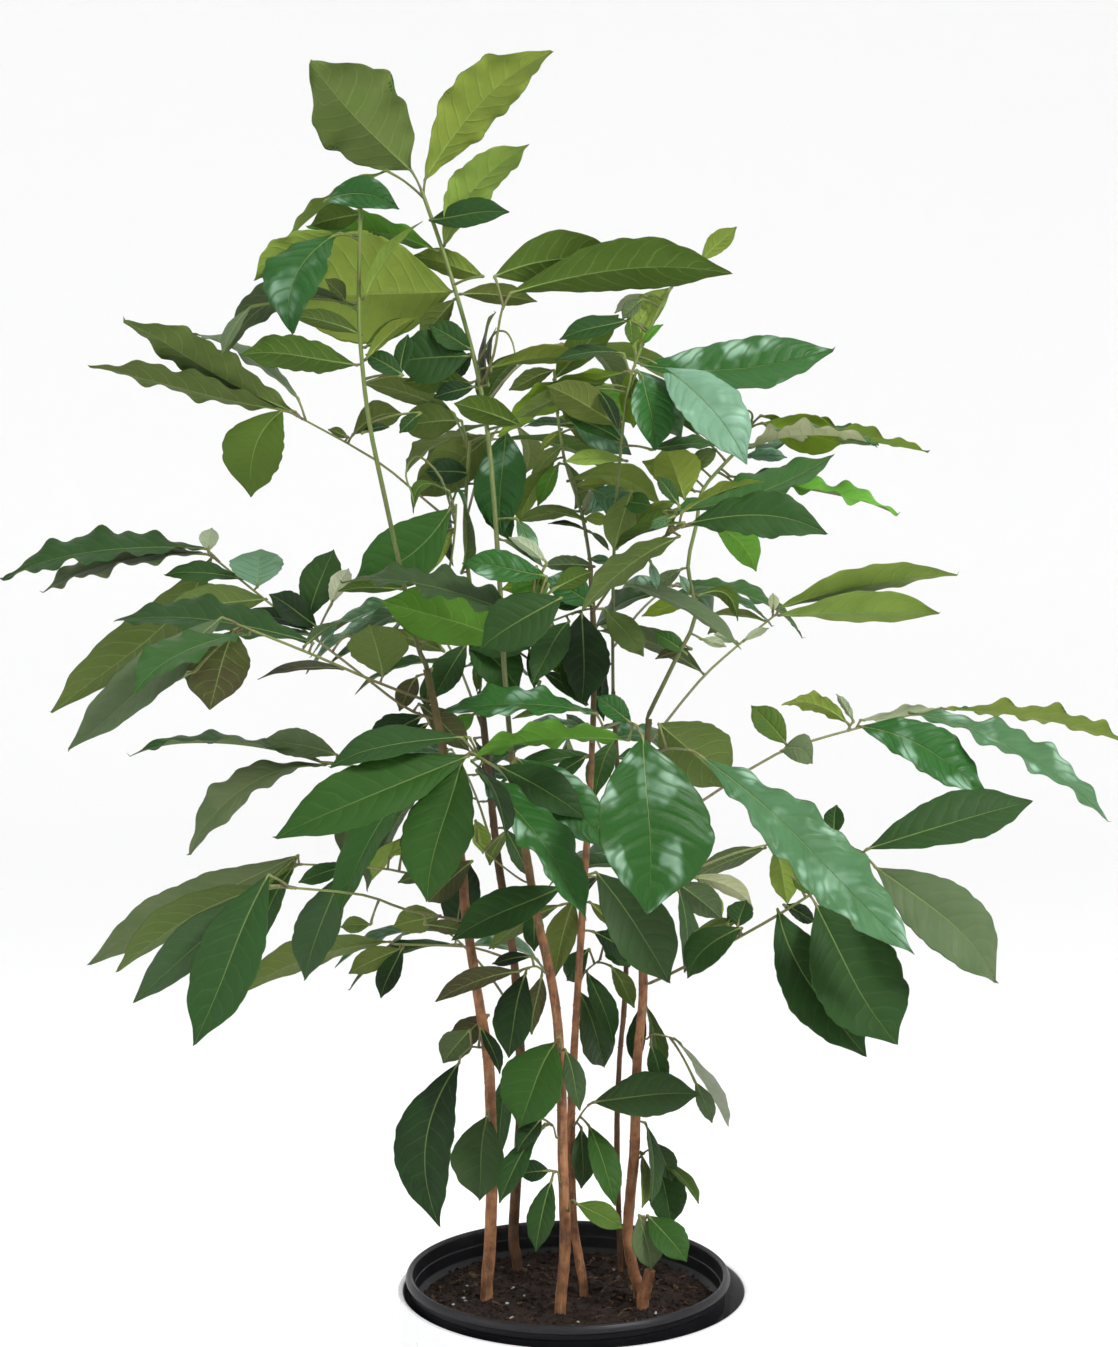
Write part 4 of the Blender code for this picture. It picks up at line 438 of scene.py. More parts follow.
# Leaflets that fill the crown between those above. They hang on the stem that looks nearest.
MORE_LEAVES = [
    lower("olive", -9.5, 103.2, -12.2, 99.8, 2.2), lower("lime", -16.6, 98.4, -12.4, 101.9, 1.3),
    upper("dark", -8.2, 99.2, -11.6, 101.2, 2.4), lower("shade", -8.2, 96.6, -13.6, 96.6, 2.4),
    upper("black", -16.9, 92.6, -14.7, 93.1, 0.9), upper("black", -8.4, 89.4, -11.8, 89.6, 2.4),
    lower("olive", -1.6, 97.6, -5.2, 96, 1.7), lower("lime", -1.5, 97, 1.6, 100.8, 2.2),
    upper("dark", 4.3, 101.5, -1.2, 100, 2), upper("dark", 3.9, 98.9, -1.6, 98.4, 1.2),
    upper("bright", 5.4, 99.6, 7.1, 101.2, 0.8), lower("olive", 2.5, 96.4, -5, 93.5, 1.8, 1),
    lower("olive", 3.6, 93.2, -2.2, 96.4, 3.4), upper("black", 1.8, 96.1, 3.5, 92.9, 1.2),
    lower("yellow", 4.4, 97.6, 4.7, 93, 2.6), upper("mid", 3.9, 91.9, -0.6, 94, 1.8),
    lower("lime", -1, 92.9, -2.7, 91.2, 0.9), upper("mid", 6.2, 91.3, 11.4, 91.6, 1.5, 1),
    upper("pale", 9.8, 90, 11, 91.2, 0.8), upper("mint", 1, 86.2, 3.9, 88.2, 1.9),
    upper("mid", 3.8, 87.2, 6.2, 86.8, 2), upper("silver", 5, 97.6, 8.6, 92.2, 3.2),
    lower("shade", 9.9, 92.4, 7.6, 95.4, 1.8), lower("lime", 9.6, 88, 5.4, 90.4, 2.4),
    upper("mint", 13.6, 90.8, 17, 90.7, 1.4, 1), upper("dark", 13, 88.4, 19, 89.2, 1.3, 1),
    lower("lime", 8.6, 86.3, 15.2, 88.8, 1, 1), lower("pale", 13.5, 76, 15.6, 77.1, 0.8),
    lower("shade", -4.2, 93.2, -9.6, 95, 2.6), lower("lime", -9.6, 84.9, -12, 81.2, 1.6),
    lower("pale", -10.2, 86.5, -14, 82.4, 2.2), lower("olive", -10.4, 75.2, -14.8, 76.6, 1.6),
    upper("dark", -1.6, 77.2, -8.4, 75.4, 4), upper("shade", -2.2, 76.4, -0.9, 73.2, 2.2),
    upper("deep", 1.6, 78.8, -2.2, 81.2, 3), lower("yellow", -2, 80.6, -5.8, 80.2, 2.2),
    lower("grey", 1.6, 82, -2.5, 82.1, 1.6, 1), upper("silver", 1.2, 82.6, 3, 82.4, 0.9),
    upper("black", -12.2, 70, -16.6, 67.4, 3), lower("brownish", -12.4, 71, -8.4, 67.2, 2.6),
    lower("brownish", -12.6, 73.2, -14, 70.4, 2), upper("black", -11.6, 69.5, -15.2, 66.9, 1.6),
    lower("grey", -7, 70.4, -11, 70.2, 1), lower("olive", -8.4, 68.3, -15, 67.1, 0.9),
    upper("deep", 4.6, 69.4, 1.8, 71.6, 2.2), lower("brownish", 9.4, 75.4, 6.5, 74.6, 1),
    upper("mint", 6.1, 82.4, 6.6, 80.2, 0.9), upper("mint", 9.2, 79.9, 8.4, 81.3, 0.8),
    lower("olive", 4.6, 88, 3.2, 83.2, 3), upper("black", 1, 84.9, -2.1, 85.4, 0.5),
    upper("grey", 1.2, 84.8, 2.8, 83.3, 0.6), lower("olive", 0.9, 85.6, -2.4, 86.4, 0.7),
    upper("silver", 8, 86, 6, 85, 1), lower("lime", -13.6, 60.3, -16.2, 56.8, 1.6),
    upper("black", -13.9, 62.8, -15.4, 61.1, 1.4), upper("black", -15.2, 62.6, -17.6, 60.5, 2),
    lower("brownish", -8.2, 58.3, -11.8, 55, 3), upper("black", 1.6, 52.6, 5.3, 50.3, 2.4),
    lower("brownish", -6.9, 45.8, -10.3, 42.5, 2.6), lower("olive", -3.6, 46.2, -5.6, 43.2, 1.8),
    lower("lime", 10.3, 56, 11.9, 53.6, 1.8), lower("pale", 6, 50.6, 6.8, 49, 0.8),
    lower("shade", 5.8, 46.6, 6.6, 41, 1.6), upper("black", -20.6, 76.8, -27.2, 78.2, 1.6),
    lower("dry", -19.4, 79, -18, 81.9, 1.8), lower("grey", -21.6, 75.6, -18.8, 77.6, 0.9),
    lower("lime", -14.9, 113.3, -23.2, 107.4, 1.5, 1, -0.02),
    lower("lime", -16.7, 103.2, -12, 109.4, 1.1), upper("grey", -25.6, 102.6, -28, 98.8, 1.2),
    lower("shade", -16.9, 109.9, -20.9, 109, 2.4), lower("olive", -18.2, 102.9, -19.8, 104.8, 1.6),
    upper("brown", -6.8, 96.4, -6.4, 102.3, 0.6), upper("brown", -6.6, 97.5, -6.2, 101, 0.5),
    upper("dark", -2.6, 73.6, 1.2, 70.9, 1.6), upper("dark", -3.6, 75.4, -3.2, 72.2, 1.2),
    lower("shade", -13.8, 80.2, -18.9, 80, 1.4), upper("black", -8.2, 66.4, -5.6, 60.4, 1.6),
    lower("lime", 0, 88.4, 2.8, 88.6, 1), lower("lime", 0.8, 85.8, 2.8, 85.7, 1.2),
    lower("shade", -0.8, 90.4, 0.2, 86.6, 1.4), upper("dark", 0.2, 93, -4, 93.2, 0.9),
    upper("dark", -8.1, 99, -9.5, 97.1, 1.6), upper("dark", -12.2, 94.2, -13.9, 92.6, 1.4),
    lower("shade", 14, 90.7, 24.2, 91.4, 1.2, 1), lower("shade", 8.8, 85.5, 3.2, 83.6, 1.1),
    upper("grey", -6, 84.2, -2.4, 82, 1), upper("dark", 0.9, 79.2, -1.6, 78.8, 1.4),
    upper("dark", -11.4, 73.8, -11.8, 70.6, 1.4), upper("shade", -8, 74.2, -7.8, 72, 0.9),
    lower("olive", -18.2, 76.6, -14.6, 73.6, 1.2), upper("black", -9.4, 88, -9.6, 82, 0.9),
    upper("dark", 2, 57, -0.6, 53, 1.4), upper("dark", -3, 54.6, -3.2, 51, 2),
    upper("dusk", -5.6, 61, -3.6, 57, 1.8), upper("black", 5.6, 46.8, 5, 41.6, 1.8),
    upper("black", -2.6, 37.4, -4.6, 34.6, 1.8), upper("olive", 5.4, 34.6, 5.6, 30, 1.2),
    upper("black", -3.4, 50.6, -6.6, 50, 1.2), upper("grey", 9.8, 40.4, 11.2, 37, 1.6),
    upper("dark", -0.4, 77.6, -3.4, 72.6, 3), upper("dark", -1, 74.5, 1, 70.8, 2.6),
    upper("dark", -8.6, 75.8, -11.2, 71.4, 2.8), upper("black", 2.6, 74, 2.4, 69.6, 1.4),
    upper("black", -8, 68.2, -6.8, 61, 1.2), upper("mid", 3.2, 68, 1.6, 63.4, 2.4),
    upper("dark", 1, 66.8, -1.6, 65, 1.6), lower("shade", 1.8, 70.3, -5, 69.8, 1),
    upper("bright", -8, 70.2, -9.8, 68.6, 1.6), lower("lime", 3.4, 83.4, 8.4, 87.4, 1.6),
    lower("shade", 4.2, 84.6, 8.8, 86.4, 1.4), upper("dark", 8.4, 86.8, 6.6, 89.2, 1.4),
    lower("bright", -1.2, 90.2, -2.9, 86.8, 1.6), upper("olive", -0.9, 91.6, -3.4, 89.4, 1.4),
    lower("pale", 0.6, 86.2, 2.6, 88.4, 1.4), lower("shade", -9, 81.5, -9.3, 88.5, 0.8),
    upper("silver", -4.6, 85.8, -3, 82.4, 1.6), lower("pale", -2.2, 82.3, -5.2, 84.4, 1.2),
    lower("olive", -16.9, 100.4, -22.6, 102, 1.8), lower("shade", -16.6, 99.4, -12.6, 101.6, 1.6),
    upper("dark", -13.6, 97.2, -16.6, 98.9, 2), upper("dark", -13.8, 97.2, -13.2, 100.4, 1.6),
    upper("black", -7.9, 96.3, -11.2, 95.4, 1.8), lower("lime", -7.2, 105, -13, 106.6, 2.4),
    upper("grey", 5.4, 103.2, 3.8, 101.6, 1.4), upper("shade", 4.4, 101.6, 4.6, 99.6, 1.4),
    upper("dark", -22.6, 57.8, -25.8, 50.8, 2.2), upper("dark", -5, 41.5, -6, 34, 2.2),
    lower("brownish", -2.6, 49, -3.4, 44.2, 2), upper("dark", 1, 49.4, 3.2, 43.6, 2.2),
    upper("dusk", 8.4, 56, 9, 49.2, 1.8), upper("dark", 5.8, 37, 6.2, 30.4, 1.4),
    lower("olive", 9.8, 52.6, 13.2, 53.4, 1.2), upper("dark", 12.4, 53.2, 13.4, 54.8, 1.2),
    upper("black", 16.9, 54.8, 19.4, 53.4, 1.6), upper("shade", 17.6, 57, 19, 55.6, 1.2),
    lower("grey", -10.6, 57.6, -14.2, 56.6, 1.4), upper("lime", -14.8, 58.8, -12.6, 60, 1.2),
    lower("brownish", -12, 53.2, -8.6, 52.6, 1.4), upper("olive", -16.4, 53.2, -18.8, 53, 1.6),
    lower("yellow", 9.8, 79.4, 5.4, 78, 1.6), lower("olive", 15.4, 77.6, 10.8, 78.2, 0.8),
    lower("pale", 10.2, 76.2, 12.2, 75.6, 1), upper("mid", 9, 75, 6.4, 76.8, 1.6),
    upper("pale", -30.4, 73.6, -34, 72.2, 1.2), upper("grey", -20.6, 76.4, -26.4, 76.2, 0.8),
    lower("pale", 22.4, 69.6, 21, 71.8, 0.9, 1),
]

# Curled sprouts: a stem's end or side, then places across and up that it goes through
SPROUTS = {
    "shoot_top": [(-7.2, 98.0), (-6.9, 99.6), (-6.2, 100.6), (-5.4, 100.6), (-4.9, 99.8),
                  (-4.7, 98.9)],
    "shoot_fork": [(-9.8, 85.6), (-10.6, 89.0), (-12.2, 90.7), (-13.1, 90.3), (-13.4, 89.2),
                   (-13.0, 88.0), (-12.7, 86.8)],
    "shoot_right": [(14.0, 93.2), (14.2, 93.9), (13.9, 94.4), (13.4, 94.3)],
}

# Colour of the side of a leaflet that shows, and how glossy it is. Dark, black, dusk and shade
# are painted shade of leaflets that lie in shadow. Lime and yellow are the undersides' own
# colour, brightened by painted light shining through them. Silver and mint are green with a
# painted reflection of the lights.
TONES = {
    "deep": ((0.013, 0.080, 0.009), 0.75),
    "gloss": ((0.018, 0.100, 0.013), 1.0),
    "mid": ((0.025, 0.076, 0.013), 0.6),
    "bright": ((0.105, 0.290, 0.032), 0.5),
    "dark": ((0.020, 0.053, 0.013), 0.5),
    "black": ((0.009, 0.020, 0.008), 0.3),
    "silver": ((0.060, 0.150, 0.058), 1.0),
    "mint": ((0.180, 0.330, 0.200), 1.0),
    "grey": ((0.085, 0.118, 0.055), 0.4),
    "dusk": ((0.034, 0.064, 0.024), 0.6),
    "olive": ((0.112, 0.152, 0.037), 0.1),
    "lime": ((0.225, 0.310, 0.050), 0.1),
    "yellow": ((0.185, 0.285, 0.022), 0.1),
    "pale": ((0.480, 0.530, 0.330), 0.2),
    "shade": ((0.060, 0.108, 0.015), 0.1),
    "brownish": ((0.064, 0.056, 0.026), 0.1),
    "brown": ((0.045, 0.036, 0.024), 0.0),
    "dry": ((0.560, 0.590, 0.420), 0.0),
}
GLOSSY = 0.7  # from this gloss up, a leaflet mirrors the lights
# The far leaflets take these tones in turn. Dark and shade are painted shade, and lime is partly
# painted light shining through.
FAR_TONES = {"T": ("dark", "deep", "mid"), "U": ("olive", "shade", "lime")}
HIDDEN_SIDE = {"T": "olive", "U": "deep"}


def seen_at(across, up, depth):
    """The point that shows at this place of the front view, this far behind its plane."""
    on_plane = Vector((across * CM, 0.0, up * CM))
    return EYE + (on_plane - EYE) * (1.0 + depth * CM / -EYE.y)


class Stem:
    """A trunk or stalk: its axis in space and as seen, with a radius at each point."""

    def __init__(self, seen, points, radii):
        self.seen = seen
        self.points = points
        self.radii = radii
        self.roots = []

    def at_height(self, up):
        """The axis point, direction, radius and seen place at a height of the view."""
        for i in range(len(self.seen) - 1):
            low, high = self.seen[i], self.seen[i + 1]
            if low[1] <= up <= high[1]:
                break
        else:
            i = len(self.seen) - 2 if up > self.seen[-1][1] else 0
            low, high = self.seen[i], self.seen[i + 1]
        share = min(max((up - low[1]) / (high[1] - low[1]), 0.0), 1.0)
        point = self.points[i].lerp(self.points[i + 1], share)
        way = (self.points[i + 1] - self.points[i]).normalized()
        radius = self.radii[i] + (self.radii[i + 1] - self.radii[i]) * share
        place = tuple(a + (b - a) * share for a, b in zip(low, high))
        return point, way, radius, place

    def closest(self, spot):
        """How far the axis looks from a place of the view, and the run and share there."""
        best = None
        for i in range(len(self.seen) - 1):
            a, b = Vector(self.seen[i][:2]), Vector(self.seen[i + 1][:2])
            run = b - a
            share = (Vector(spot) - a).dot(run) / max(run.dot(run), 1e-9)
            share = min(max(share, 0.0), 1.0)
            apart = (a + run * share - Vector(spot)).length
            if best is None or apart < best[0] - 1e-9:
                best = apart, i, share
        return best

    def nearest(self, spot):
        """The axis point that looks nearest to a place of the view, and its depth."""
        _, i, share = self.closest(spot)
        depth = self.seen[i][2] + (self.seen[i + 1][2] - self.seen[i][2]) * share
        step = (self.points[i + 1] - self.points[i]).length
        return self.free_root(self.length_to(i) + step * share), depth

    def length_to(self, index):
        """Length of the axis up to one of its points."""
        points = self.points[: index + 1]
        return sum((b - a).length for a, b in zip(points, points[1:]))

    def free_root(self, wanted):
        """An axis point for a new leaflet, down from the wanted length past any near one."""
        whole = self.length_to(len(self.points) - 1)
        at = min(wanted, whole - ROOT_END)
        while any(abs(at - taken) < ROOT_SPACE for taken in self.roots) and at > ROOT_START:
            at -= ROOT_STEP
        at = max(at, ROOT_END)
        self.roots.append(at)
        for a, b in zip(self.points, self.points[1:]):
            step = (b - a).length
            if at <= step:
                return a.lerp(b, at / step)
            at -= step
        return self.points[-1]


def trunk_stem(radii, depths, places):
    """A trunk from its hole in the soil up. It stands straight through the surface."""
    low, high = places[0][1], places[-1][1]
    seen, thick = [], []
    for i, (across, up) in enumerate(places):
        share = (up - low) / (high - low)
        seen.append((across, up, depths[0] + (depths[1] - depths[0]) * share))
        thick.append((radii[0] + (radii[1] - radii[0]) * share + KNOT * (i % 2)) * CM)
    points = [seen_at(*place) for place in seen]
    foot, collar = points[0].copy(), points[0].copy()
    foot.z = SOIL_TOP - HOLE_DEPTH + GAP
    collar.z = SOIL_TOP + COLLAR
    return Stem(seen[:1] + seen, [foot, collar] + points[1:], thick[:1] + thick)


def stalk_stem(carrier, height, radius, places):
    """A stalk that meets its carrier's side, or goes on from its end, a hair clear of it."""
    if height is None:
        way = (carrier.points[-1] - carrier.points[-2]).normalized()
        start = carrier.points[-1] + way * GAP
        seen = [carrier.seen[-1]]
        second = start + way * GOING_ON
    else:
        axis_point, axis_way, carrier_radius, place = carrier.at_height(height)
        first = seen_at(*places[0])
        way = first - axis_point
        way = (way - axis_way * way.dot(axis_way)).normalized()
        start = axis_point + way * (carrier_radius + GAP)
        seen = [place]
        second = start + way * FIRST_RUN
    points = [start, second] + [seen_at(*place) for place in places]
    seen += seen + list(places)
    ends = radius * CM, radius * CM * STALK_TAPER
    steps = len(points) - 1
    radii = [ends[0] + (ends[1] - ends[0]) * i / steps for i in range(steps + 1)]
    return Stem(seen, points, radii)


def far_stem(carrier, height, turn, reach, rise):
    """A stalk on the far side, which climbs steeply at first and then less."""
    axis_point, axis_way, radius, place = carrier.at_height(height)
    way = Vector((math.cos(math.radians(turn)), math.sin(math.radians(turn)), 0.0))
    start = axis_point + way * (radius + GAP)
    points = [start, start + way * FIRST_RUN]
    for share in FAR_RUNS:
        lift = rise * (1.6 * share - 0.6 * share**2)
        points.append(start + way * reach * share + Vector((0, 0, lift)))
    return Stem([place] * len(points), points, FAR_RADII)


def bend(base, middle, tip, s):
    """A point and direction on the curve from base over middle to tip."""
    control = middle * 2.0 - (base + tip) * 0.5
    point = base * (1 - s) ** 2 + control * (2 * s * (1 - s)) + tip * s**2
    way = (control - base) * (2 * (1 - s)) + (tip - control) * (2 * s)
    return point, way.normalized()


def outline(s):
    """Half of a leaflet's width along it, widest past its middle, with a drawn-out tip."""
    body = math.sin(math.pi * s**1.1) ** 0.85
    tip = min(max((s - 0.80) / 0.17, 0.0), 1.0)
    return body * (1.0 - 0.35 * tip * tip * (3 - 2 * tip))


class Blade:
    """A leaflet in space. Its plain rings are those of the solid blade, which show where it
    is clear of the rest, and its fine surface lies along the same curve."""

    def __init__(self, base, tip, side, width, wave, bow):
        self.base = base
        self.tip = tip
        self.side = side
        self.wave_grade = wave
        along = (tip - base).normalized()
        self.length = (tip - base).length
        self.width = max(width * SPARE_WIDTH, min(BLADE_RATIO * self.length, WIDEST_BLADE))
        self.wave = WAVE_HEIGHT[wave] * self.width
        seen_width = max(width - WAVE_SEEN * self.wave, EDGE_ON * width)
        facing = min(seen_width / self.width, FACE_ON)
        toward = EYE - (base + tip) * 0.5
        toward = (toward - along * toward.dot(along)).normalized()
        upward = along.cross(toward)
        if upward.z < 0:
            upward = -upward
        if side == "U":
            toward = -toward
        self.normal = (toward * facing + upward * math.sqrt(1 - facing**2)).normalized()
        self.lateral = along.cross(self.normal)
        self.middle = (base + tip) * 0.5 + self.normal * BLADE_ARCH * self.length
        self.middle += upward * bow * self.length
        waves = round(self.length / WAVE_RUN)
        self.waves = min(max(waves, FEWEST_WAVES), MOST_WAVES) + wave

    def across(self, s):
        centre, way = bend(self.base, self.middle, self.tip, s)
        lift = self.lateral.cross(way).normalized()
        half = max(0.5 * self.width * outline(s), NARROWEST)
        ripple = self.wave * math.cos(math.pi * self.waves * s) * math.sin(math.pi * s) ** 0.5
        fold = BLADE_FOLD * half
        left = centre + self.lateral * half + lift * (fold + ripple)
        right = centre - self.lateral * half + lift * (fold - ripple)
        return [left, centre + lift * BLADE_RISE, right, centre - lift * BLADE_RISE]

    def blade_rings(self, start=0.0):
        stations = [i / self.waves for i in range(1, self.waves)]
        return [self.across(s) for s in stations if s >= start]

    def stalk_rings(self, root, from_root=0.0):
        """Rings of the short stalk between the root point and the blade."""
        _, way = bend(self.base, self.middle, self.tip, 0.0)
        lift = self.lateral.cross(way).normalized()
        run = self.base - root
        if run.length < SHORT_RUN:
            turns = ((0.0, 0.0),)
            run = self.base + way * SHORT_LEAD - root
        elif run.length < LONG_RUN:
            turns = ((0.0, 0.0), (1.0, 0.5))
        else:
            turns = ((0.0, 0.0), (0.55, 0.0), (1.0, 0.5))
        turn = way.rotation_difference(run.normalized())
        rings = []
        for share, back in turns:
            if share < from_root:
                share = min(from_root, LAST_STALK)
            twist = turn.slerp(Quaternion(), back)
            centre = root + run * share
            centre.z += STALK_SAG * run.length * math.sin(math.pi * share)
            size = STALK_RADIUS * min(0.5 + share, LAST_STALK)
            side, up = twist @ self.lateral * size, twist @ lift * size
            rings.append([centre + side, centre + up, centre - side, centre - up])
        return rings


def hull_faces(rings):
    """Triangles between one ring of six points and the next."""
    faces = []
    for a in range(0, 6 * (rings - 1), 6):
        for j in range(6):
            k = (j + 1) % 6
            faces += [(a + j, a + k, a + 6 + k), (a + j, a + 6 + k, a + 6 + j)]
    return faces


def thick_shape(rings, tip, more):
    """A loose hull round a blade's rings, this much thicker, to test what comes too near."""
    points = []
    for left, top, right, under in rings:
        lift = (top - under).normalized() * more
        points += [left + lift, top + lift, right + lift, right - lift, under - lift,
                   left - lift]
    last = len(points) - 6
    ends = [(last + j, last + (j + 1) % 6, len(points)) for j in range(6)]
    return points + [tip], hull_faces(len(rings)) + ends


def stem_shape(stem, more):
    """A six-sided hull round a stem, this much thicker."""
    points = []
    for i, (centre, radius) in enumerate(zip(stem.points, stem.radii)):
        way = stem.points[min(i + 1, len(stem.points) - 1)] - stem.points[max(i - 1, 0)]
        side = way.cross(Vector(HULL_TURN)).normalized()
        lift = side.cross(way).normalized()
        for j in range(6):
            turn = math.tau * j / 6
            out = side * math.cos(turn) + lift * math.sin(turn)
            points.append(centre + out * (radius + more))
    return points, hull_faces(len(stem.points))


def limits(points):
    """The lowest and highest corner of some points."""
    return [tuple(pick(p[i] for p in points) for i in range(3)) for pick in (min, max)]


class Space:
    """What already stands in the plant, to find out what a new blade would cross."""

    def __init__(self):
        self.shapes = []

    def add(self, owner, points, faces):
        tree = BVHTree.FromPolygons([tuple(p) for p in points], faces)
        self.shapes.append((owner, *limits(points), tree))

    def crossed_by(self, points, faces, skip=None, only=None):
        lo, hi = limits(points)
        tree = None
        for owner, low, high, other in self.shapes:
            if owner == skip or (only is not None and owner != only):
                continue
            if any(low[i] > hi[i] or high[i] < lo[i] for i in range(3)):
                continue
            if tree is None:
                tree = BVHTree.FromPolygons([tuple(p) for p in points], faces)
            if other.overlap(tree):
                return owner
        return None


def depth_steps():
    """Shifts in depth to try, the smallest first and farther before nearer."""
    yield 0.0
    for i in range(1, DEPTH_TRIES):
        yield DEPTH_STEP * i
        yield -DEPTH_STEP * i


def shifted(point, depth):
    """The same place of the view, this much farther from the eye."""
    ray = (point - EYE) / (point.y - EYE.y)
    return point + ray * depth


def place_blade(space, owner, root, base, tip, row):
    """Bends a leaflet in depth until it is clear of all that stands, as the solid one is."""
    side, width, wave, bow = row
    for base_shift in BASE_SHIFTS:
        for tip_shift in depth_steps():
            blade = Blade(shifted(base, base_shift), shifted(tip, tip_shift + base_shift),
                          side, width, wave, bow)
            whole = blade.stalk_rings(root, FREE_STALK) + blade.blade_rings()
            outer = blade.blade_rings(FREE_BLADE)
            shape = thick_shape(whole, blade.tip, CLEARANCE)
            far_shape = thick_shape(outer, blade.tip, CLEARANCE)
            if space.crossed_by(*shape, skip=owner):
                continue
            if space.crossed_by(*far_shape, only=owner):
                continue
            space.add(owner, *shape)
            return blade
    return None


def spread_row(row, depth):
    """The base and tip of a leaflet in space, and what its blade is made from."""
    side, _, base, tip, width, wave, bow, _ = row
    near = 1.0 + depth * CM / -EYE.y
    tip_depth = depth + depth_lean(row, math.dist(base, tip))
    return seen_at(*base, depth), seen_at(*tip, tip_depth), (side, width * CM * near, wave, bow)


def depth_lean(row, length):
    """How far a leaflet's tip lies behind its base, from how edge-on it looks."""
    side, _, base, tip, width, _, _, toward = row
    rise = tip[1] - base[1]
    true_width = max(width * SPARE_WIDTH, min(BLADE_RATIO * length, WIDEST_BLADE / CM))
    facing = min(width / true_width, FACE_ON)
    slope = min(math.sqrt(1 - facing**2) / facing, STEEPEST)
    return (slope * rise if side == "T" else -slope * rise) - toward


def seen_blades(space, name, stem, rows):
    """The leaflets read from the front view, with their roots on the stalk and their tones."""
    blades = []
    for row in rows:
        root, depth = stem.nearest(row[2])
        base, tip, (side, width, wave, bow) = spread_row(row, depth)
        made = place_blade(space, name, root, base, tip, (side, width * FULLER, wave, bow))
        if made:
            blades.append((root, made, row[1]))
    return blades


def add_more_blades(space, stems, leafy):
    """The leaflets between the solid ones, each on its nearest stem and with its spray."""
    for row in MORE_LEAVES:
        spot = row[2]
        carrier = min(stems, key=lambda name: stems[name].closest(spot)[0])
        name = min(leafy, key=lambda name: (name != carrier, stems[name].closest(spot)[0]))
        root, depth = stems[carrier].nearest(spot)
        base, tip, cut = spread_row(row, depth)
        made = place_blade(space, name, root, base, tip, cut) or Blade(base, tip, *cut)
        leafy[name].append((root, made, row[1]))


def far_blades(space, name, stem, pairs, chance):
    """Leaflets in pairs along the outer stalk and one at its end, drooping outwards."""
    blades = []
    spots = [(1.0, 0)]
    for pair in range(pairs):
        spots += [(share - PAIR_SPACE * pair, hand) for share, hand in PAIR_HANDS]
    run = stem.points[-1] - stem.points[0]
    flat = Vector((run.x, run.y, 0)).normalized()
    whole = stem.length_to(len(stem.points) - 1)
    for share, hand in spots:
        root = stem.free_root(whole * share)
        spread = math.radians(chance.uniform(*FAR_SPREAD)) * hand
        way = Vector((flat.x * math.cos(spread) - flat.y * math.sin(spread),
                      flat.x * math.sin(spread) + flat.y * math.cos(spread), 0))
        length = FAR_LEAFLET * chance.uniform(*FAR_LENGTHS)
        droop = chance.uniform(*FAR_DROOP)
        base = root + way * FAR_GAP
        tip = base + (way - Vector((0, 0, droop))).normalized() * length
        ray = (base - EYE).normalized()
        facing_up = Vector((0, 0, 1)) - way * -droop
        width = FAR_WIDTH * length * max(abs(facing_up.normalized().dot(ray)), FAR_NARROWEST)
        side = "U" if base.z > EYE.z else "T"
        made = place_blade(space, name, root, base, tip,
                           (side, width, chance.choice(FAR_WAVES), FAR_BOW))
        if made:
            blades.append((root, made, FAR_TONES[side][len(blades) % len(FAR_TONES[side])]))
    return blades


def grow():
    """Every stem by name, and the leaflets of each leafy one, where the solids have them."""
    space = Space()
    stems = {}
    for name, (radii, depths, places) in TRUNKS.items():
        stems[name] = trunk_stem(radii, depths, places)
        space.add(name, *stem_shape(stems[name], STEM_CLEARANCE))
    waiting = dict(SPRAYS)
    while waiting:
        for name in list(waiting):
            (carrier, height), radius, places, _ = waiting[name]
            if carrier in stems:
                stems[name] = stalk_stem(stems[carrier], height, radius, places)
                del waiting[name]
    far = []
    for i, (carrier, height, turn, reach, rise, pairs) in enumerate(FAR_SPRAYS):
        name = f"spray_far_{i + 1}"
        stems[name] = far_stem(stems[carrier], height, turn, reach, rise)
        far.append((name, pairs))
    for name, stem in stems.items():
        if name not in TRUNKS:
            space.add(name, *stem_shape(stem, STEM_CLEARANCE))
    leafy = {}
    for name, (_, _, _, rows) in SPRAYS.items():
        leafy[name] = seen_blades(space, name, stems[name], rows)
    chance = random.Random(FAR_SEED)
    for name, pairs in far:
        leafy[name] = far_blades(space, name, stems[name], pairs, chance)
    add_more_blades(space, stems, {name: leafy[name] for name in SPRAYS})
    return stems, leafy


COLUMNS = (-1.0, -0.95, -0.84, -0.68, -0.50, -0.32, -0.15, -0.045, 0.0,
           0.045, 0.15, 0.32, 0.50, 0.68, 0.84, 0.95, 1.0)
FEWEST_RINGS = 20
MOST_RINGS = 46
RINGS_TO_METRE = 170
RINGS_FOR_WAVES = 7
LAST_RING = 0.985  # share of a blade's length
TRUE_WIDTH = 0.92  # a leaflet's width against its solid's
BLADE_SKIN = 0.00024  # half a blade's thickness
MIDRIB_RIDGE = 0.0008
MIDRIB_GROOVE = 0.00035
MIDRIB_SHARE = 0.05  # of half the blade's width
STALK_UNEVENNESS = 0.0003
YOUNG_THINNESS = 0.84  # of a shoot's skin, against its solid's radius
RUFFLE = 0.42  # height of the small waves of the margin, against the large ones
STALK_IN_BLADE = 0.006  # a short stalk goes on so far under its blade's midrib
SPROUT_STEP = 0.25  # cm nearer at each point of a sprout

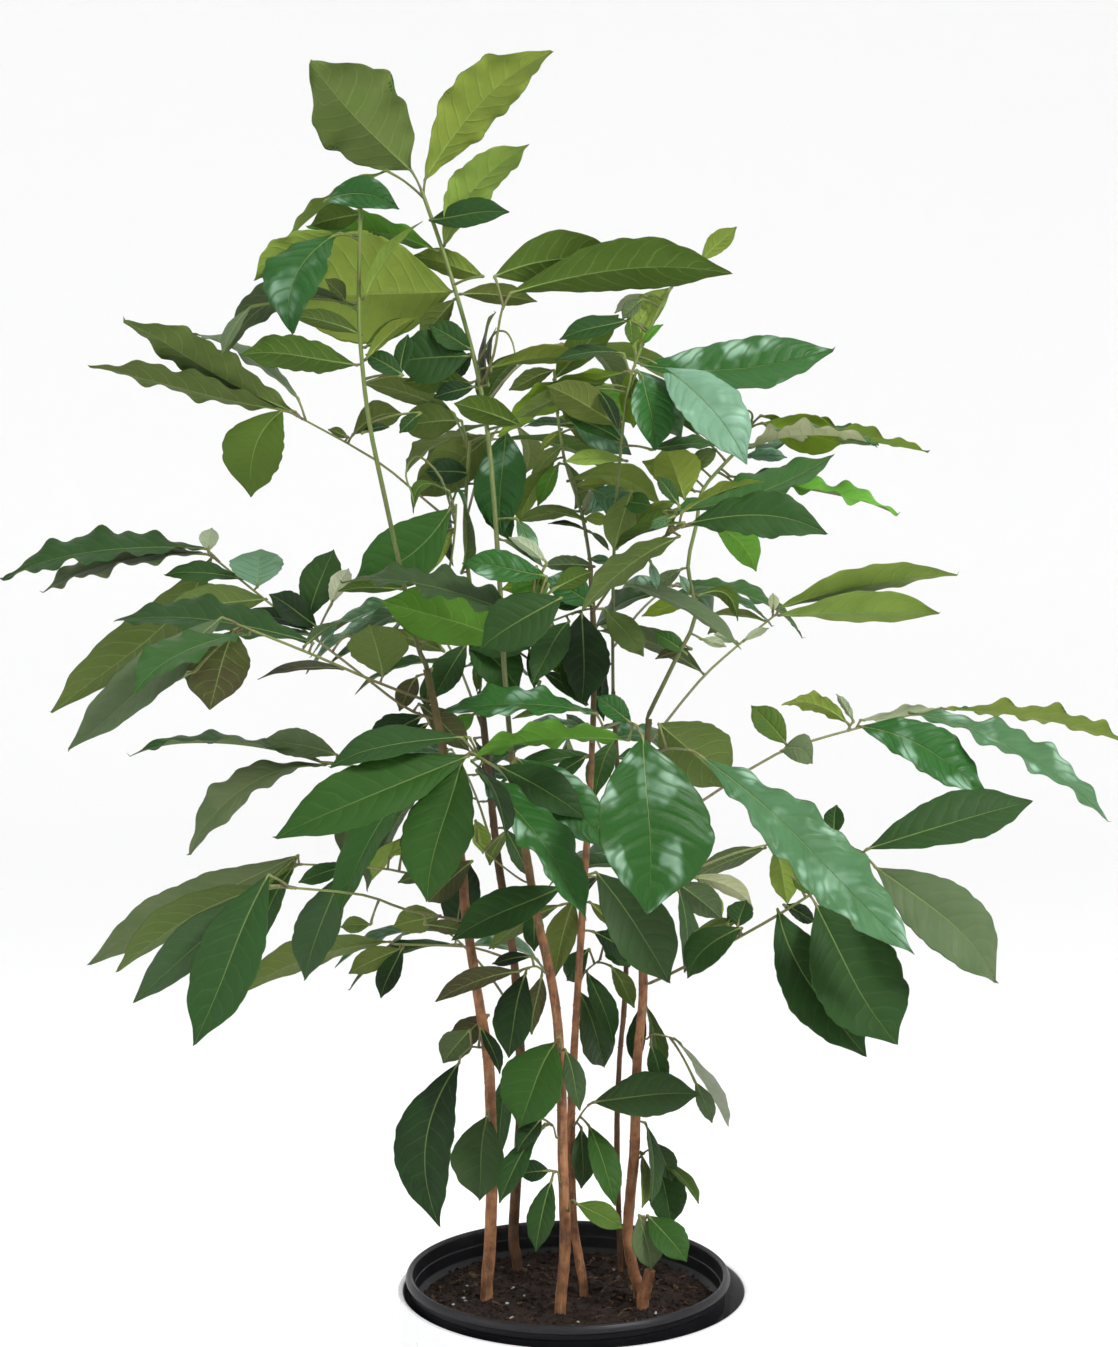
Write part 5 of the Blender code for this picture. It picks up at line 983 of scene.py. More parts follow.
# How one blade differs from the next
SWAY = 0.012  # sideways, against its length
CURL = (-0.035, 0.012)  # of its tip, against its length
TWIST = 7.0  # degrees
LEAN = (0.95, 1.05)  # width of one half against the other
SCALLOP_DEPTH = (0.02, 0.06)
MORE_SCALLOPS = (3.5, 6.5)  # than waves
SHADE = (0.88, 1.12)
WARMTH = (0.93, 1.07)
FEWEST_VEINS = 7
MOST_VEINS = 12
PATTERN_STEP = 32.0  # keeps the random patterns of two blades apart
TOP_SLOT, UNDER_SLOT, GLOSSY_SLOT = range(3)  # places of a spray's leaf finishes


def blade_shape(blade, chance):
    """Points of a leaflet's fine skin, ring by ring, with the place of each on the blade:
    across from -1 to 1, along from 0 to 1, and sideways from the midrib in millimetres."""
    stations = min(FEWEST_RINGS + round(RINGS_TO_METRE * blade.length), MOST_RINGS)
    stations += RINGS_FOR_WAVES * blade.wave_grade
    along = np.linspace(0.0, LAST_RING, stations)
    across = np.array(COLUMNS)
    sway = chance.uniform(-SWAY, SWAY) * blade.length
    twist = math.radians(chance.uniform(-TWIST, TWIST))
    curl = chance.uniform(*CURL) * blade.length
    lean = chance.uniform(*LEAN)
    phases = chance.uniform(0.0, math.tau), chance.uniform(0.0, math.tau)
    depth = chance.uniform(*SCALLOP_DEPTH) * (1 + 0.5 * blade.wave_grade)
    scallops = [(chance.uniform(*MORE_SCALLOPS) + blade.waves, chance.random(),
                 chance.random() * 9) for _ in range(2)]
    points, places = [], []
    for s in along:
        centre, way = bend(blade.base, blade.middle, blade.tip, s)
        lift = blade.lateral.cross(way).normalized()
        turn = twist * math.cos(math.pi * s)
        side = blade.lateral * math.cos(turn) + lift * math.sin(turn)
        lift = lift * math.cos(turn) - blade.lateral * math.sin(turn)
        centre = centre + blade.lateral * (sway * math.sin(math.tau * s))
        centre += lift * (curl * max(0.0, (s - 0.72) / 0.28) ** 2)
        half = max(0.5 * blade.width * TRUE_WIDTH * outline(s), NARROWEST * 0.8)
        envelope = blade.wave * math.sin(math.pi * s) ** 0.5
        uneven = 0.55 + 0.5 * noise.noise(Vector((scallops[0][2], 5.0 * s, 3.0)))
        large = uneven * envelope * math.cos(math.pi * blade.waves * s)
        small = [envelope * RUFFLE * math.sin(2 * math.pi * blade.waves * s + p) for p in phases]
        reach = np.abs(across)
        hand = np.sign(across)
        cuts = []
        for number, start, seed in scallops:
            scallop = abs(math.sin(math.pi * (number * s + start))) ** 0.8
            rough = noise.noise(Vector((seed, 9.0 * s, 0.0)))
            cuts.append(1.0 - depth * (1.0 - scallop) + 1.2 * depth * rough)
        widths = np.where(across > 0, half * lean * cuts[0], half / lean * cuts[1])
        rise = BLADE_FOLD * half * reach**1.3 + 0.05 * half * np.sin(math.pi * reach)
        rise += large * hand * reach**2.2
        rise += np.where(across > 0, small[0], small[1]) * reach**3.5
        skin = BLADE_SKIN * (1 - reach**6)
        crest = np.exp(-((across / MIDRIB_SHARE) ** 2))
        groove = MIDRIB_GROOVE * crest * (1 - s)
        ridge = MIDRIB_RIDGE * crest * (1.05 - s)
        spine = np.array(centre)[None, :] + np.outer(across * widths, np.array(side))
        up = np.array(lift)
        top = spine + np.outer(rise + skin - groove, up)
        under = spine + np.outer(rise - skin - ridge, up)
        points.append(np.vstack([top[::-1], under[1:-1]]))
        spot = np.stack([across, np.full(len(across), s), across * widths * 1000.0], axis=1)
        places.append(np.vstack([spot[::-1], spot[1:-1]]))
    return np.array(points), np.array(places)


class Skin:
    """Collects the blades of a spray into one mesh, with their finishes and colours."""

    def __init__(self):
        self.points, self.faces, self.slots = [], [], []
        self.places, self.shares, self.colours = [], [], []
        self.count = 0

    def add(self, blade, tone, chance):
        rings, places = blade_shape(blade, chance)
        stations, ring = rings.shape[:2]
        veins = round(min(max(6 + 32 * blade.length, FEWEST_VEINS), MOST_VEINS))
        places[:, :, 1] *= veins
        points = np.vstack([rings.reshape(-1, 3), [np.array(blade.tip)], [np.array(blade.base)]])
        spots = np.vstack([places.reshape(-1, 3), [[0.0, veins, 0.0]], [[0.0, 0.0, 0.0]]])
        along = spots[:, 1] / veins
        spots[:, 1] += PATTERN_STEP * len(self.points)
        tip, base = len(points) - 2, len(points) - 1
        faces, tops = [], []
        half = len(COLUMNS) - 1
        for j in range(ring):
            k = (j + 1) % ring
            for i in range(stations - 1):
                a, b = i * ring, i * ring + ring
                faces.append((a + j, a + k, b + k, b + j))
                tops.append(j < half)
            last = (stations - 1) * ring
            faces += [(last + j, last + k, tip), (k, j, base)]
            tops += [j < half, j < half]
        middle = points.mean(axis=0)
        corners = [points[[f[0], f[1], f[2]]] - middle for f in faces]
        if np.linalg.det(np.array(corners)).sum() < 0:
            faces = [face[::-1] for face in faces]
        # The shown side takes its tone, with the painted shade, painted light shining through or
        # painted reflection that some tones hold.
        seen, hidden = TONES[tone], TONES[HIDDEN_SIDE[blade.side]]
        shade, warm = chance.uniform(*SHADE), chance.uniform(*WARMTH)
        for face, above in zip(faces, tops):
            colour, gloss = seen if above == (blade.side == "T") else hidden
            tint = (colour[0] * shade * warm, colour[1] * shade, colour[2] * shade / warm)
            self.colours += [(*tint, gloss)] * len(face)
        self.points.append(points)
        self.shares.append(along)
        self.places.append(spots)
        self.faces += [tuple(self.count + v for v in face) for face in faces]
        shine = TONES[tone][1] >= GLOSSY and blade.side == "T"
        front = GLOSSY_SLOT if shine else TOP_SLOT
        self.slots += [front if above else UNDER_SLOT for above in tops]
        self.count += len(points)

    def mesh(self, name):
        made = bpy.data.meshes.new(name)
        made.from_pydata(np.vstack(self.points), [], self.faces)
        place = made.attributes.new("blade_place", "FLOAT_VECTOR", "POINT")
        place.data.foreach_set("vector", np.vstack(self.places).astype(np.float32).ravel())
        share = made.attributes.new("blade_share", "FLOAT", "POINT")
        share.data.foreach_set("value", np.concatenate(self.shares).astype(np.float32))
        colour = made.color_attributes.new("blade_colour", "FLOAT_COLOR", "CORNER")
        colour.data.foreach_set("color", np.array(self.colours, np.float32).ravel())
        made.polygons.foreach_set("material_index", np.array(self.slots, np.int32))
        made.shade_smooth()
        return made


def curve_object(name, runs):
    """A curve with one straight-sided spline for each run of points and radii."""
    curve = bpy.data.curves.new(name, "CURVE")
    curve.dimensions = "3D"
    for points, radii in runs:
        spline = curve.splines.new("POLY")
        spline.points.add(len(points) - 1)
        for spot, point, radius in zip(spline.points, points, radii):
            spot.co = (*point, 1.0)
            spot.radius = radius
    return new_object(name, curve)


def leaflet_run(root, blade):
    """The short stalk of a leaflet, swollen at both ends, up into the blade's midrib."""
    run = blade.base - root
    _, way = bend(blade.base, blade.middle, blade.tip, 0.0)
    points, radii = [], []
    for share in (0.0, 0.25, 0.55, 0.85, 1.0):
        point = root + run * share
        point.z += STALK_SAG * run.length * math.sin(math.pi * share)
        points.append(point)
        radii.append(STALK_RADIUS * (0.78 + 0.30 * (2 * share - 1) ** 2))
    points.append(blade.base + way * STALK_IN_BLADE)
    radii.append(STALK_RADIUS * 0.45)
    return points, radii


def stem_run(stem, thickness=1.0):
    return stem.points, [radius * thickness for radius in stem.radii]


def sprout_run(stem, spots):
    """A thin curled sprout from its stem, at the stem's depth."""
    root, depth = stem.nearest(spots[0])
    points = [root]
    points += [seen_at(*spot, depth - SPROUT_STEP * i) for i, spot in enumerate(spots[1:])]
    return points, [STALK_RADIUS * (0.95 - 0.5 * i / len(points)) for i in range(len(points))]


class Value:
    """What a node gives. Sums and products of it add Math nodes."""

    def __init__(self, socket):
        self.socket = socket
        self.tree = socket.id_data

    def reckon(self, operation, *values):
        made = put(self.tree, "ShaderNodeMath", dict(enumerate(values)), operation=operation)
        return Value(made.outputs[0])

    def __abs__(self):
        return self.reckon("ABSOLUTE", self)

    def __add__(self, other):
        return self.reckon("ADD", self, other)

    def __sub__(self, other):
        return self.reckon("SUBTRACT", self, other)

    def __rsub__(self, other):
        return self.reckon("SUBTRACT", other, self)

    def __mul__(self, other):
        return self.reckon("MULTIPLY", self, other)

    def __pow__(self, other):
        return self.reckon("POWER", self, other)

    def ramp(self, start, end, low=0.0, high=1.0):
        """A smooth step from low to high, where the value goes from start to end."""
        inputs = {"Value": self, "From Min": start, "From Max": end, "To Min": low,
                  "To Max": high}
        made = put(self.tree, "ShaderNodeMapRange", inputs, interpolation_type="SMOOTHSTEP")
        return Value(made.outputs["Result"])

    def bumps(self, distance, strength=1.0, under=None):
        """The normal of a skin with this height, over another normal where one is given."""
        inputs = {"Height": self, "Distance": distance, "Strength": strength}
        if under is not None:
            inputs["Normal"] = under
        return Value(put(self.tree, "ShaderNodeBump", inputs).outputs["Normal"])


def feed(node, key, value):
    """Sets an input of a node, by name or place, or links it to what another node gives."""
    socket = node.inputs[key]
    if isinstance(value, Value):
        value = value.socket
    if isinstance(value, bpy.types.NodeSocket):
        node.id_data.links.new(value, socket)
    else:
        socket.default_value = (*value, 1.0) if socket.type == "RGBA" else value


def put(tree, kind, inputs=None, **settings):
    """Adds a node with its settings and inputs."""
    made = tree.nodes.new(kind)
    for key, value in settings.items():
        setattr(made, key, value)
    for key, value in (inputs or {}).items():
        feed(made, key, value)
    return made


def first(tree, kind, inputs=None, **settings):
    """Adds a node and returns its first output."""
    return put(tree, kind, inputs, **settings).outputs[0]


class Finish:
    """A material in the making, with patterns on its object coordinates."""

    def __init__(self, name):
        self.material = bpy.data.materials.new(name)
        self.material.use_nodes = True
        self.tree = self.material.node_tree
        self.shader = self.tree.nodes["Principled BSDF"]
        self.place = put(self.tree, "ShaderNodeTexCoord").outputs["Object"]

    def attribute(self, name, output="Fac"):
        made = put(self.tree, "ShaderNodeAttribute", attribute_name=name)
        return Value(made.outputs[output])

    def parts(self, vector):
        """The three numbers of a vector."""
        made = put(self.tree, "ShaderNodeSeparateXYZ", {0: vector})
        return [Value(part) for part in made.outputs]

    def stretched(self, vector, scale):
        return first(self.tree, "ShaderNodeMapping", {"Vector": vector, "Scale": scale})

    def clouds(self, scale, detail=3.0, roughness=0.55, place=None):
        inputs = {"Vector": place or self.place, "Scale": scale, "Detail": detail,
                  "Roughness": roughness}
        return Value(put(self.tree, "ShaderNodeTexNoise", inputs).outputs["Fac"])

    def cells(self, scale, place=None, **settings):
        """The distance from the points, or where set from the edges, of random cells."""
        inputs = {"Vector": place or self.place, "Scale": scale}
        made = put(self.tree, "ShaderNodeTexVoronoi", inputs, **settings)
        return Value(made.outputs["Distance"])

    def blend(self, share, under, over):
        """Two colours mixed by a share of the second."""
        made = put(self.tree, "ShaderNodeMix", {0: share}, data_type="RGBA")
        feed(made, 6, under)
        feed(made, 7, over)
        return made.outputs[2]

    def done(self, skin, roughness, normal=None, specular=0.5):
        feed(self.shader, "Base Color", skin)
        feed(self.shader, "Roughness", roughness)
        feed(self.shader, "Specular IOR Level", specular)
        if normal is not None:
            feed(self.shader, "Normal", normal)
        return self.material


def blade_veins(look, sharpness):
    """Masks of a blade's midrib, its side veins, the swells between them and its net of small
    veins, and how far a point is from the midrib."""
    spot = look.attribute("blade_place", "Vector")
    across, along, sideways = look.parts(spot)
    midrib = (abs(sideways) + look.attribute("blade_share") * 0.55).ramp(0.35, 1.0, 1.0, 0.0)
    reach = abs(across)
    stagger = across.reckon("GREATER_THAN", across, 0.0) * 0.46
    wander = look.clouds(1.0, 1.0, place=look.stretched(spot, (1.2, 0.8, 0.0))) * 0.6
    sweep = reach**1.25 * 1.35 + reach**4.0 * 0.55
    course = along - sweep + (stagger + wander)
    apart = abs(course.reckon("FRACT", course) - 0.5)
    fade = reach.ramp(0.55, 1.0, 1.0, 0.25)
    side = apart.ramp(0.012, sharpness, 1.0, 0.0) * fade
    swell = apart.ramp(0.0, 0.36) * fade
    net = look.cells(2.6, spot, feature="DISTANCE_TO_EDGE").ramp(0.02, 0.10, 1.0, 0.0)
    return midrib, side, swell, net, reach


def leaf_top_finish(name, looks, shine):
    """The upper side of a leaflet. With shine it is glossier, and pale gleams are painted into its
    colour between veins: a painted sheen.
    """
    look = Finish(name)
    midrib, side, swell, net, reach = blade_veins(look, 0.075)
    patches = look.clouds(28.0).ramp(0.35, 0.7, 0.0, 0.30)
    skin = look.blend(patches, look.attribute("blade_colour", "Color"), looks.leaf_patch)
    skin = look.blend(net * 0.02, skin, looks.vein)
    skin = look.blend(side * 0.035, skin, looks.vein)
    if shine:
        # Painted sheen: pale patches blended into a glossy leaflet's colour, where it would mirror
        # the lights.
        painted_gleam = look.clouds(36.0, 2.0, 0.5).ramp(0.53, 0.68, 0.0, 0.62)
        painted_gleam = painted_gleam * swell.ramp(0.0, 0.5, 0.3, 1.0) * reach.ramp(0.1, 0.8, 0.35, 1.0)
        skin = look.blend(painted_gleam, skin, looks.painted_gleam)
    skin = look.blend(midrib * 0.42, skin, looks.vein)
    skin = look.blend(reach.ramp(0.955, 0.995, 0.0, 0.35), skin, looks.leaf_rim)
    gloss = look.attribute("blade_colour", "Alpha")
    rough = looks.leaf_roughness - gloss * 0.16 + look.clouds(55.0, 4.0) * 0.14
    height = swell * 0.8 - midrib * 1.1 + net * -0.07
    normal = height.bumps(0.0008 if shine else 0.0004)
    normal = look.clouds(900.0, 2.0).bumps(0.00008, 0.6, normal)
    return look.done(skin, rough, normal, 0.22 if shine else 0.10)


def leaf_under_finish(looks):
    look = Finish("leaf_underside")
    midrib, side, swell, net, _ = blade_veins(look, 0.095)
    patches = look.clouds(30.0).ramp(0.35, 0.75, 0.0, 0.35)
    skin = look.blend(patches, look.attribute("blade_colour", "Color"), looks.under_patch)
    for mask, strength in ((net, 0.07), (side, 0.17), (midrib, 0.55)):
        skin = look.blend(mask * strength, skin, looks.vein)
    height = side * 0.8 + net * 0.25 - swell * 0.4
    return look.done(skin, 0.62, height.bumps(0.0005), 0.10)


def stalk_finish(name, low, high, speck):
    """Green or brown stem skin, low colour at its foot and high colour at its end."""
    look = Finish(name)
    climb = look.attribute("climb") + look.clouds(60.0) * 0.35
    skin = look.blend(climb.ramp(0.15, 1.05), low, high)
    streaks = look.clouds(900.0, 4.0, place=look.stretched(look.place, (1.0, 1.0, 0.12)))
    skin = look.blend(streaks.ramp(0.48, 0.72, 0.0, 0.45), skin, speck)
    return look.done(skin, 0.48, streaks.bumps(0.0003))


def bark_finish(looks):
    """Thin brown bark with fine cracks and pale pores, turning green towards the top, and with
    painted shade farther back and higher up, under the crown."""
    look = Finish("bark")
    tall = look.stretched(look.place, (1.0, 1.0, 0.16))
    cracks = look.clouds(420.0, 6.0, 0.65, tall)
    flakes = look.clouds(90.0, 5.0, 0.6)
    _, behind, height = look.parts(look.place)
    green = look.attribute("climb") * height.ramp(0.30, 0.50) + (flakes - 0.5) * 0.5
    skin = look.blend(flakes.ramp(0.32, 0.68), looks.bark, looks.bark_dark)
    skin = look.blend(cracks.ramp(0.52, 0.74, 0.0, 0.7), skin, looks.bark_light)
    skin = look.blend(cracks.ramp(0.30, 0.44, 0.75, 0.0), skin, looks.crack_and_painted_shade)
    skin = look.blend(look.cells(260.0, tall).ramp(0.10, 0.20, 0.55, 0.0), skin,
                      looks.bark_light)
    skin = look.blend(green.ramp(0.66, 1.0, 0.0, 0.85), skin, looks.young_bark)
    # Painted shade: the bark is darkened farther back and higher up, where the crown shades it.
    skin = look.blend(behind.ramp(0.01, 0.08, 0.0, 0.70), skin, looks.crack_and_painted_shade)
    skin = look.blend(height.ramp(0.42, 0.62, 0.0, 0.45), skin, looks.crack_and_painted_shade)
    return look.done(skin, 0.72, (cracks + flakes * 0.6).bumps(0.0009), 0.3)


def glaze_finish(looks):
    """Smooth white glaze with a faint waviness and fine specks."""
    look = Finish("white_glaze")
    wash = look.clouds(9.0, 2.0).ramp(0.3, 0.75, 0.0, 0.5)
    skin = look.blend(wash, looks.glaze, looks.glaze_shade)
    skin = look.blend(look.cells(170.0).ramp(0.02, 0.05, 0.12, 0.0), skin, (0.4, 0.38, 0.35))
    feed(look.shader, "Coat Weight", 0.2)
    feed(look.shader, "Coat Roughness", 0.12)
    return look.done(skin, look.clouds(22.0) * 0.14 + 0.22, look.clouds(14.0, 1.0).bumps(0.0005))


def plastic_finish(looks):
    """Black moulded plastic with pale dust, scuffs and fine drag marks round it."""
    look = Finish("black_plastic")
    dust = look.clouds(34.0, 6.0, 0.7)
    skin = look.blend(dust.ramp(0.54, 0.80, 0.0, 0.50), looks.plastic, looks.plastic_dust)
    skin = look.blend(look.cells(210.0).ramp(0.05, 0.11, 0.5, 0.0), skin, looks.plastic_dust)
    marks = look.clouds(700.0, 2.0, place=look.stretched(look.place, (0.05, 0.05, 1.0)))
    normal = dust.bumps(0.0004, 0.5, marks.bumps(0.0002, 0.5))
    return look.done(skin, dust * 0.35 + 0.24, normal, 0.28)


def peat_finish(name, dark, light, scale, relief):
    """Moist peat, bark or perlite: two colours in clouds over a rough skin."""
    look = Finish(name)
    lumps = look.clouds(scale, 6.0, 0.7)
    height = lumps + look.clouds(scale * 4.0, 4.0)
    skin = look.blend(lumps.ramp(0.36, 0.66), dark, light)
    return look.done(skin, 0.88, height.bumps(relief), 0.25)


def colour(name, description, value):
    return FloatVectorProperty(name=name, description=description, default=value, size=3,
                               min=0.0, max=1.0, subtype="COLOR")


def length(name, description, value):
    return FloatProperty(name=name, description=description, default=value, min=0.0,
                         unit="LENGTH", precision=5)


class LeafLooks(bpy.types.PropertyGroup):
    vein: colour("Veins", "Midribs and side veins", (0.30, 0.42, 0.13))
    leaf_patch: colour("Leaf patches", "Uneven patches of the upper side", (0.018, 0.070, 0.012))
    leaf_rim: colour("Leaf margin", "Thin rim of a leaflet", (0.09, 0.22, 0.05))
    # Colour of the painted sheen on glossy leaflets.
    painted_gleam: colour("Gleams", "Pale gleams of glossy leaflets", (0.36, 0.56, 0.42))
    under_patch: colour("Underside patches", "Uneven patches below", (0.08, 0.15, 0.02))
    leaf_roughness: FloatProperty(name="Leaf roughness", description="Of a dull upper side",
                                  default=0.46, min=0.1, max=1.0)
    stalk_low: colour("Stalk foot", "Stalks where they leave the stem", (0.10, 0.085, 0.03))
    stalk_high: colour("Stalk end", "Stalks towards their end", (0.13, 0.17, 0.035))
    shoot_low: colour("Shoot foot", "Young shoots low down", (0.058, 0.080, 0.018))
    shoot_high: colour("Shoot end", "Young shoots towards their end", (0.105, 0.170, 0.026))


class BarkLooks(bpy.types.PropertyGroup):
    bark: colour("Bark", "Main colour", (0.34, 0.150, 0.066))
    bark_dark: colour("Dark bark", "Dark patches", (0.15, 0.066, 0.032))
    bark_light: colour("Pores", "Pale pores and streaks", (0.36, 0.25, 0.14))
    # Also the colour of the painted shade on the bark farther back and higher up.
    crack_and_painted_shade: colour("Cracks", "Fine cracks", (0.035, 0.022, 0.013))
    young_bark: colour("Young bark", "Green bark near the top", (0.105, 0.115, 0.034))
    unevenness: length("Unevenness", "How far the bark swells in and out", 0.0007)
    pores: FloatProperty(name="Pores", description="Raised pores on each square metre",
                         default=9000.0, min=0.0)


class PotLooks(bpy.types.PropertyGroup):
    glaze: colour("Glaze", "Cachepot", (0.80, 0.80, 0.81))
    glaze_shade: colour("Glaze shade", "Faint clouds of the glaze", (0.74, 0.74, 0.76))
    plastic: colour("Plastic", "Nursery pot", (0.007, 0.007, 0.009))
    plastic_dust: colour("Dust", "Dust on the plastic", (0.050, 0.050, 0.055))
    edge: length("Rim rounding", "Rounding of the cachepot's rim", 0.0016)


class SoilLooks(bpy.types.PropertyGroup):
    peat: colour("Peat", "Dark of the peat", (0.007, 0.004, 0.003))
    peat_light: colour("Peat fibres", "Light of the peat", (0.034, 0.018, 0.012))
    crumbs: FloatProperty(name="Crumbs", description="Crumbs on each square metre",
                          default=32000.0, min=0.0)
    crumb: length("Crumb", "Size of a large crumb", 0.0036)
    perlite: IntProperty(name="Perlite", description="Number of perlite grains", default=26,
                         min=0)
    chips: IntProperty(name="Bark chips", description="Number of bark chips", default=60, min=0)


class StageLooks(bpy.types.PropertyGroup):
    floor: colour("Floor", "Plain floor", (0.92, 0.92, 0.92))
    room_light: FloatProperty(name="Room light", description="Soft light all round",
                              default=0.90, min=0.0)
    key: FloatProperty(name="Key light", description="Light from the upper right, in watts",
                       default=62.0, min=0.0)
    fill: FloatProperty(name="Fill light", description="Light from the left, in watts",
                        default=16.0, min=0.0)


def new_object(name, data):
    made = bpy.data.objects.new(name, data)
    bpy.context.scene.collection.objects.link(made)
    return made


def settle(made):
    """Turns an object with its modifiers into a plain mesh."""
    seen = made.evaluated_get(bpy.context.evaluated_depsgraph_get())
    mesh = bpy.data.meshes.new_from_object(seen)
    old = made.data
    made.modifiers.clear()
    made.data = mesh
    bpy.data.meshes.remove(old)
    mesh.name = made.name


def rests(made, node):
    """Hands a finished piece to the frame in the place of its solid."""
    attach(made, "root")
    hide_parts(node)


def new_grower(name, sockets):
    """An empty geometry tree with these inputs, and its input node."""
    tree = bpy.data.node_groups.new(name, "GeometryNodeTree")
    tree.is_modifier = True
    for label, kind, default in sockets:
        socket = tree.interface.new_socket(label, in_out="INPUT", socket_type=kind)
        if default is not None:
            socket.default_value = default
    tree.interface.new_socket("Geometry", in_out="OUTPUT", socket_type="NodeSocketGeometry")
    return tree, tree.nodes.new("NodeGroupInput").outputs


def grow_with(made, tree, **values):
    """Runs a geometry tree on an object, with these values for its named inputs."""
    modifier = made.modifiers.new(tree.name, "NODES")
    modifier.node_group = tree
    for item in tree.interface.items_tree:
        if item.in_out == "INPUT" and item.name in values:
            modifier[item.identifier] = values[item.name]
    settle(made)


def join(tree, *parts):
    made = put(tree, "GeometryNodeJoinGeometry")
    for part in parts:
        tree.links.new(part, made.inputs[0])
    return made.outputs[0]


def with_finish(tree, geometry, finish):
    return first(tree, "GeometryNodeSetMaterial", {"Geometry": geometry, "Material": finish})


def end_tree(tree, geometry):
    put(tree, "NodeGroupOutput", {0: first(tree, "GeometryNodeRealizeInstances", {0: geometry})})


def add_stems(made, tree, runs, **values):
    """Grows stems along these runs of points and radii, beside an object's mesh."""
    axes = curve_object("axes", runs)
    grow_with(made, tree, Axes=axes, **values)
    bpy.data.objects.remove(axes)


def stem_tree():
    """Round stems along the curves of an object, with uneven skin and pores, beside the mesh."""
    tree, given = new_grower("stems", [
        ("Geometry", "NodeSocketGeometry", None),
        ("Axes", "NodeSocketObject", None),
        ("Sides", "NodeSocketInt", 10),
        ("Steps", "NodeSocketInt", 3),
        ("Unevenness", "NodeSocketFloat", 0.0002),
        ("Pores", "NodeSocketFloat", 0.0),
        ("Finish", "NodeSocketMaterial", None),
    ])
    axes = put(tree, "GeometryNodeObjectInfo", {"Object": given["Axes"]}).outputs["Geometry"]
    axes = first(tree, "GeometryNodeCurveSplineType", {"Curve": axes}, spline_type="CATMULL_ROM")
    axes = first(tree, "GeometryNodeSetSplineResolution",
                 {"Geometry": axes, "Resolution": given["Steps"]})
    climb = put(tree, "GeometryNodeSplineParameter").outputs["Factor"]
    axes = first(tree, "GeometryNodeStoreNamedAttribute",
                 {"Geometry": axes, "Name": "climb", "Value": climb})
    ring = first(tree, "GeometryNodeCurvePrimitiveCircle",
                 {"Resolution": given["Sides"], "Radius": 1.0})
    radius = first(tree, "GeometryNodeInputRadius")
    tube = first(tree, "GeometryNodeCurveToMesh",
                 {"Curve": axes, "Profile Curve": ring, "Scale": radius, "Fill Caps": True})
    lumps = put(tree, "ShaderNodeTexNoise", {"Scale": 85.0, "Detail": 3.0}).outputs["Fac"]
    lift = (Value(lumps) - 0.5) * given["Unevenness"]
    normal = first(tree, "GeometryNodeInputNormal")
    push = first(tree, "ShaderNodeVectorMath", {0: normal, "Scale": lift}, operation="SCALE")
    tube = first(tree, "GeometryNodeSetPosition", {"Geometry": tube, "Offset": push})
    spots = put(tree, "GeometryNodeDistributePointsOnFaces",
                {"Mesh": tube, "Density": given["Pores"], "Seed": 4})
    pore = first(tree, "GeometryNodeMeshIcoSphere", {"Radius": 0.0009, "Subdivisions": 2})
    size = first(tree, "FunctionNodeRandomValue",
                 {0: (0.5, 0.9, 0.2), 1: (1.5, 0.6, 0.45), "Seed": 5}, data_type="FLOAT_VECTOR")
    pores = first(tree, "GeometryNodeInstanceOnPoints",
                  {"Points": spots.outputs[0], "Instance": pore, "Rotation": spots.outputs[2],
                   "Scale": size})
    smooth = first(tree, "GeometryNodeSetShadeSmooth", {"Geometry": join(tree, tube, pores)})
    stems = with_finish(tree, smooth, given["Finish"])
    end_tree(tree, join(tree, stems, given["Geometry"]))
    return tree


def crumb_tree():
    """Irregular grains strewn over a surface, and sunk into it."""
    tree, given = new_grower("crumbs", [
        ("Geometry", "NodeSocketGeometry", None),
        ("Density", "NodeSocketFloat", 1000.0),
        ("Smallest", "NodeSocketVector", (0.3, 0.3, 0.3)),
        ("Largest", "NodeSocketVector", (1.0, 1.0, 1.0)),
        ("Size", "NodeSocketFloat", 0.003),
        ("Roundness", "NodeSocketInt", 2),
        ("Seed", "NodeSocketInt", 1),
        ("Finish", "NodeSocketMaterial", None),
    ])
    spots = first(tree, "GeometryNodeDistributePointsOnFaces",
                  {"Mesh": given["Geometry"], "Density": given["Density"], "Seed": given["Seed"]})
    grain = first(tree, "GeometryNodeMeshIcoSphere",
                  {"Radius": given["Size"], "Subdivisions": given["Roundness"]})
    size = first(tree, "FunctionNodeRandomValue",
                 {0: given["Smallest"], 1: given["Largest"], "Seed": given["Seed"]},
                 data_type="FLOAT_VECTOR")
    turn = first(tree, "FunctionNodeRandomValue",
                 {0: (-0.5, -0.5, 0.0), 1: (0.5, 0.5, math.tau), "Seed": given["Seed"]},
                 data_type="FLOAT_VECTOR")
    grains = first(tree, "GeometryNodeInstanceOnPoints",
                   {"Points": spots, "Instance": grain, "Rotation": turn, "Scale": size})
    loose = first(tree, "GeometryNodeRealizeInstances", {0: grains})
    lumps = put(tree, "ShaderNodeTexNoise", {"Scale": 420.0, "Detail": 2.0}).outputs["Color"]
    push = first(tree, "ShaderNodeVectorMath", {0: lumps, 1: (0.5, 0.5, 0.5)},
                 operation="SUBTRACT")
    push = first(tree, "ShaderNodeVectorMath", {0: push, "Scale": Value(given["Size"]) * 1.3},
                 operation="SCALE")
    grains = first(tree, "GeometryNodeSetPosition", {"Geometry": loose, "Offset": push})
    end_tree(tree, with_finish(tree, grains, given["Finish"]))
    return tree


def circle(radius, steps):
    turns = [math.tau * i / steps for i in range(steps)]
    return [(radius * math.cos(a), radius * math.sin(a)) for a in turns]


SHARP_EDGE = math.radians(38)


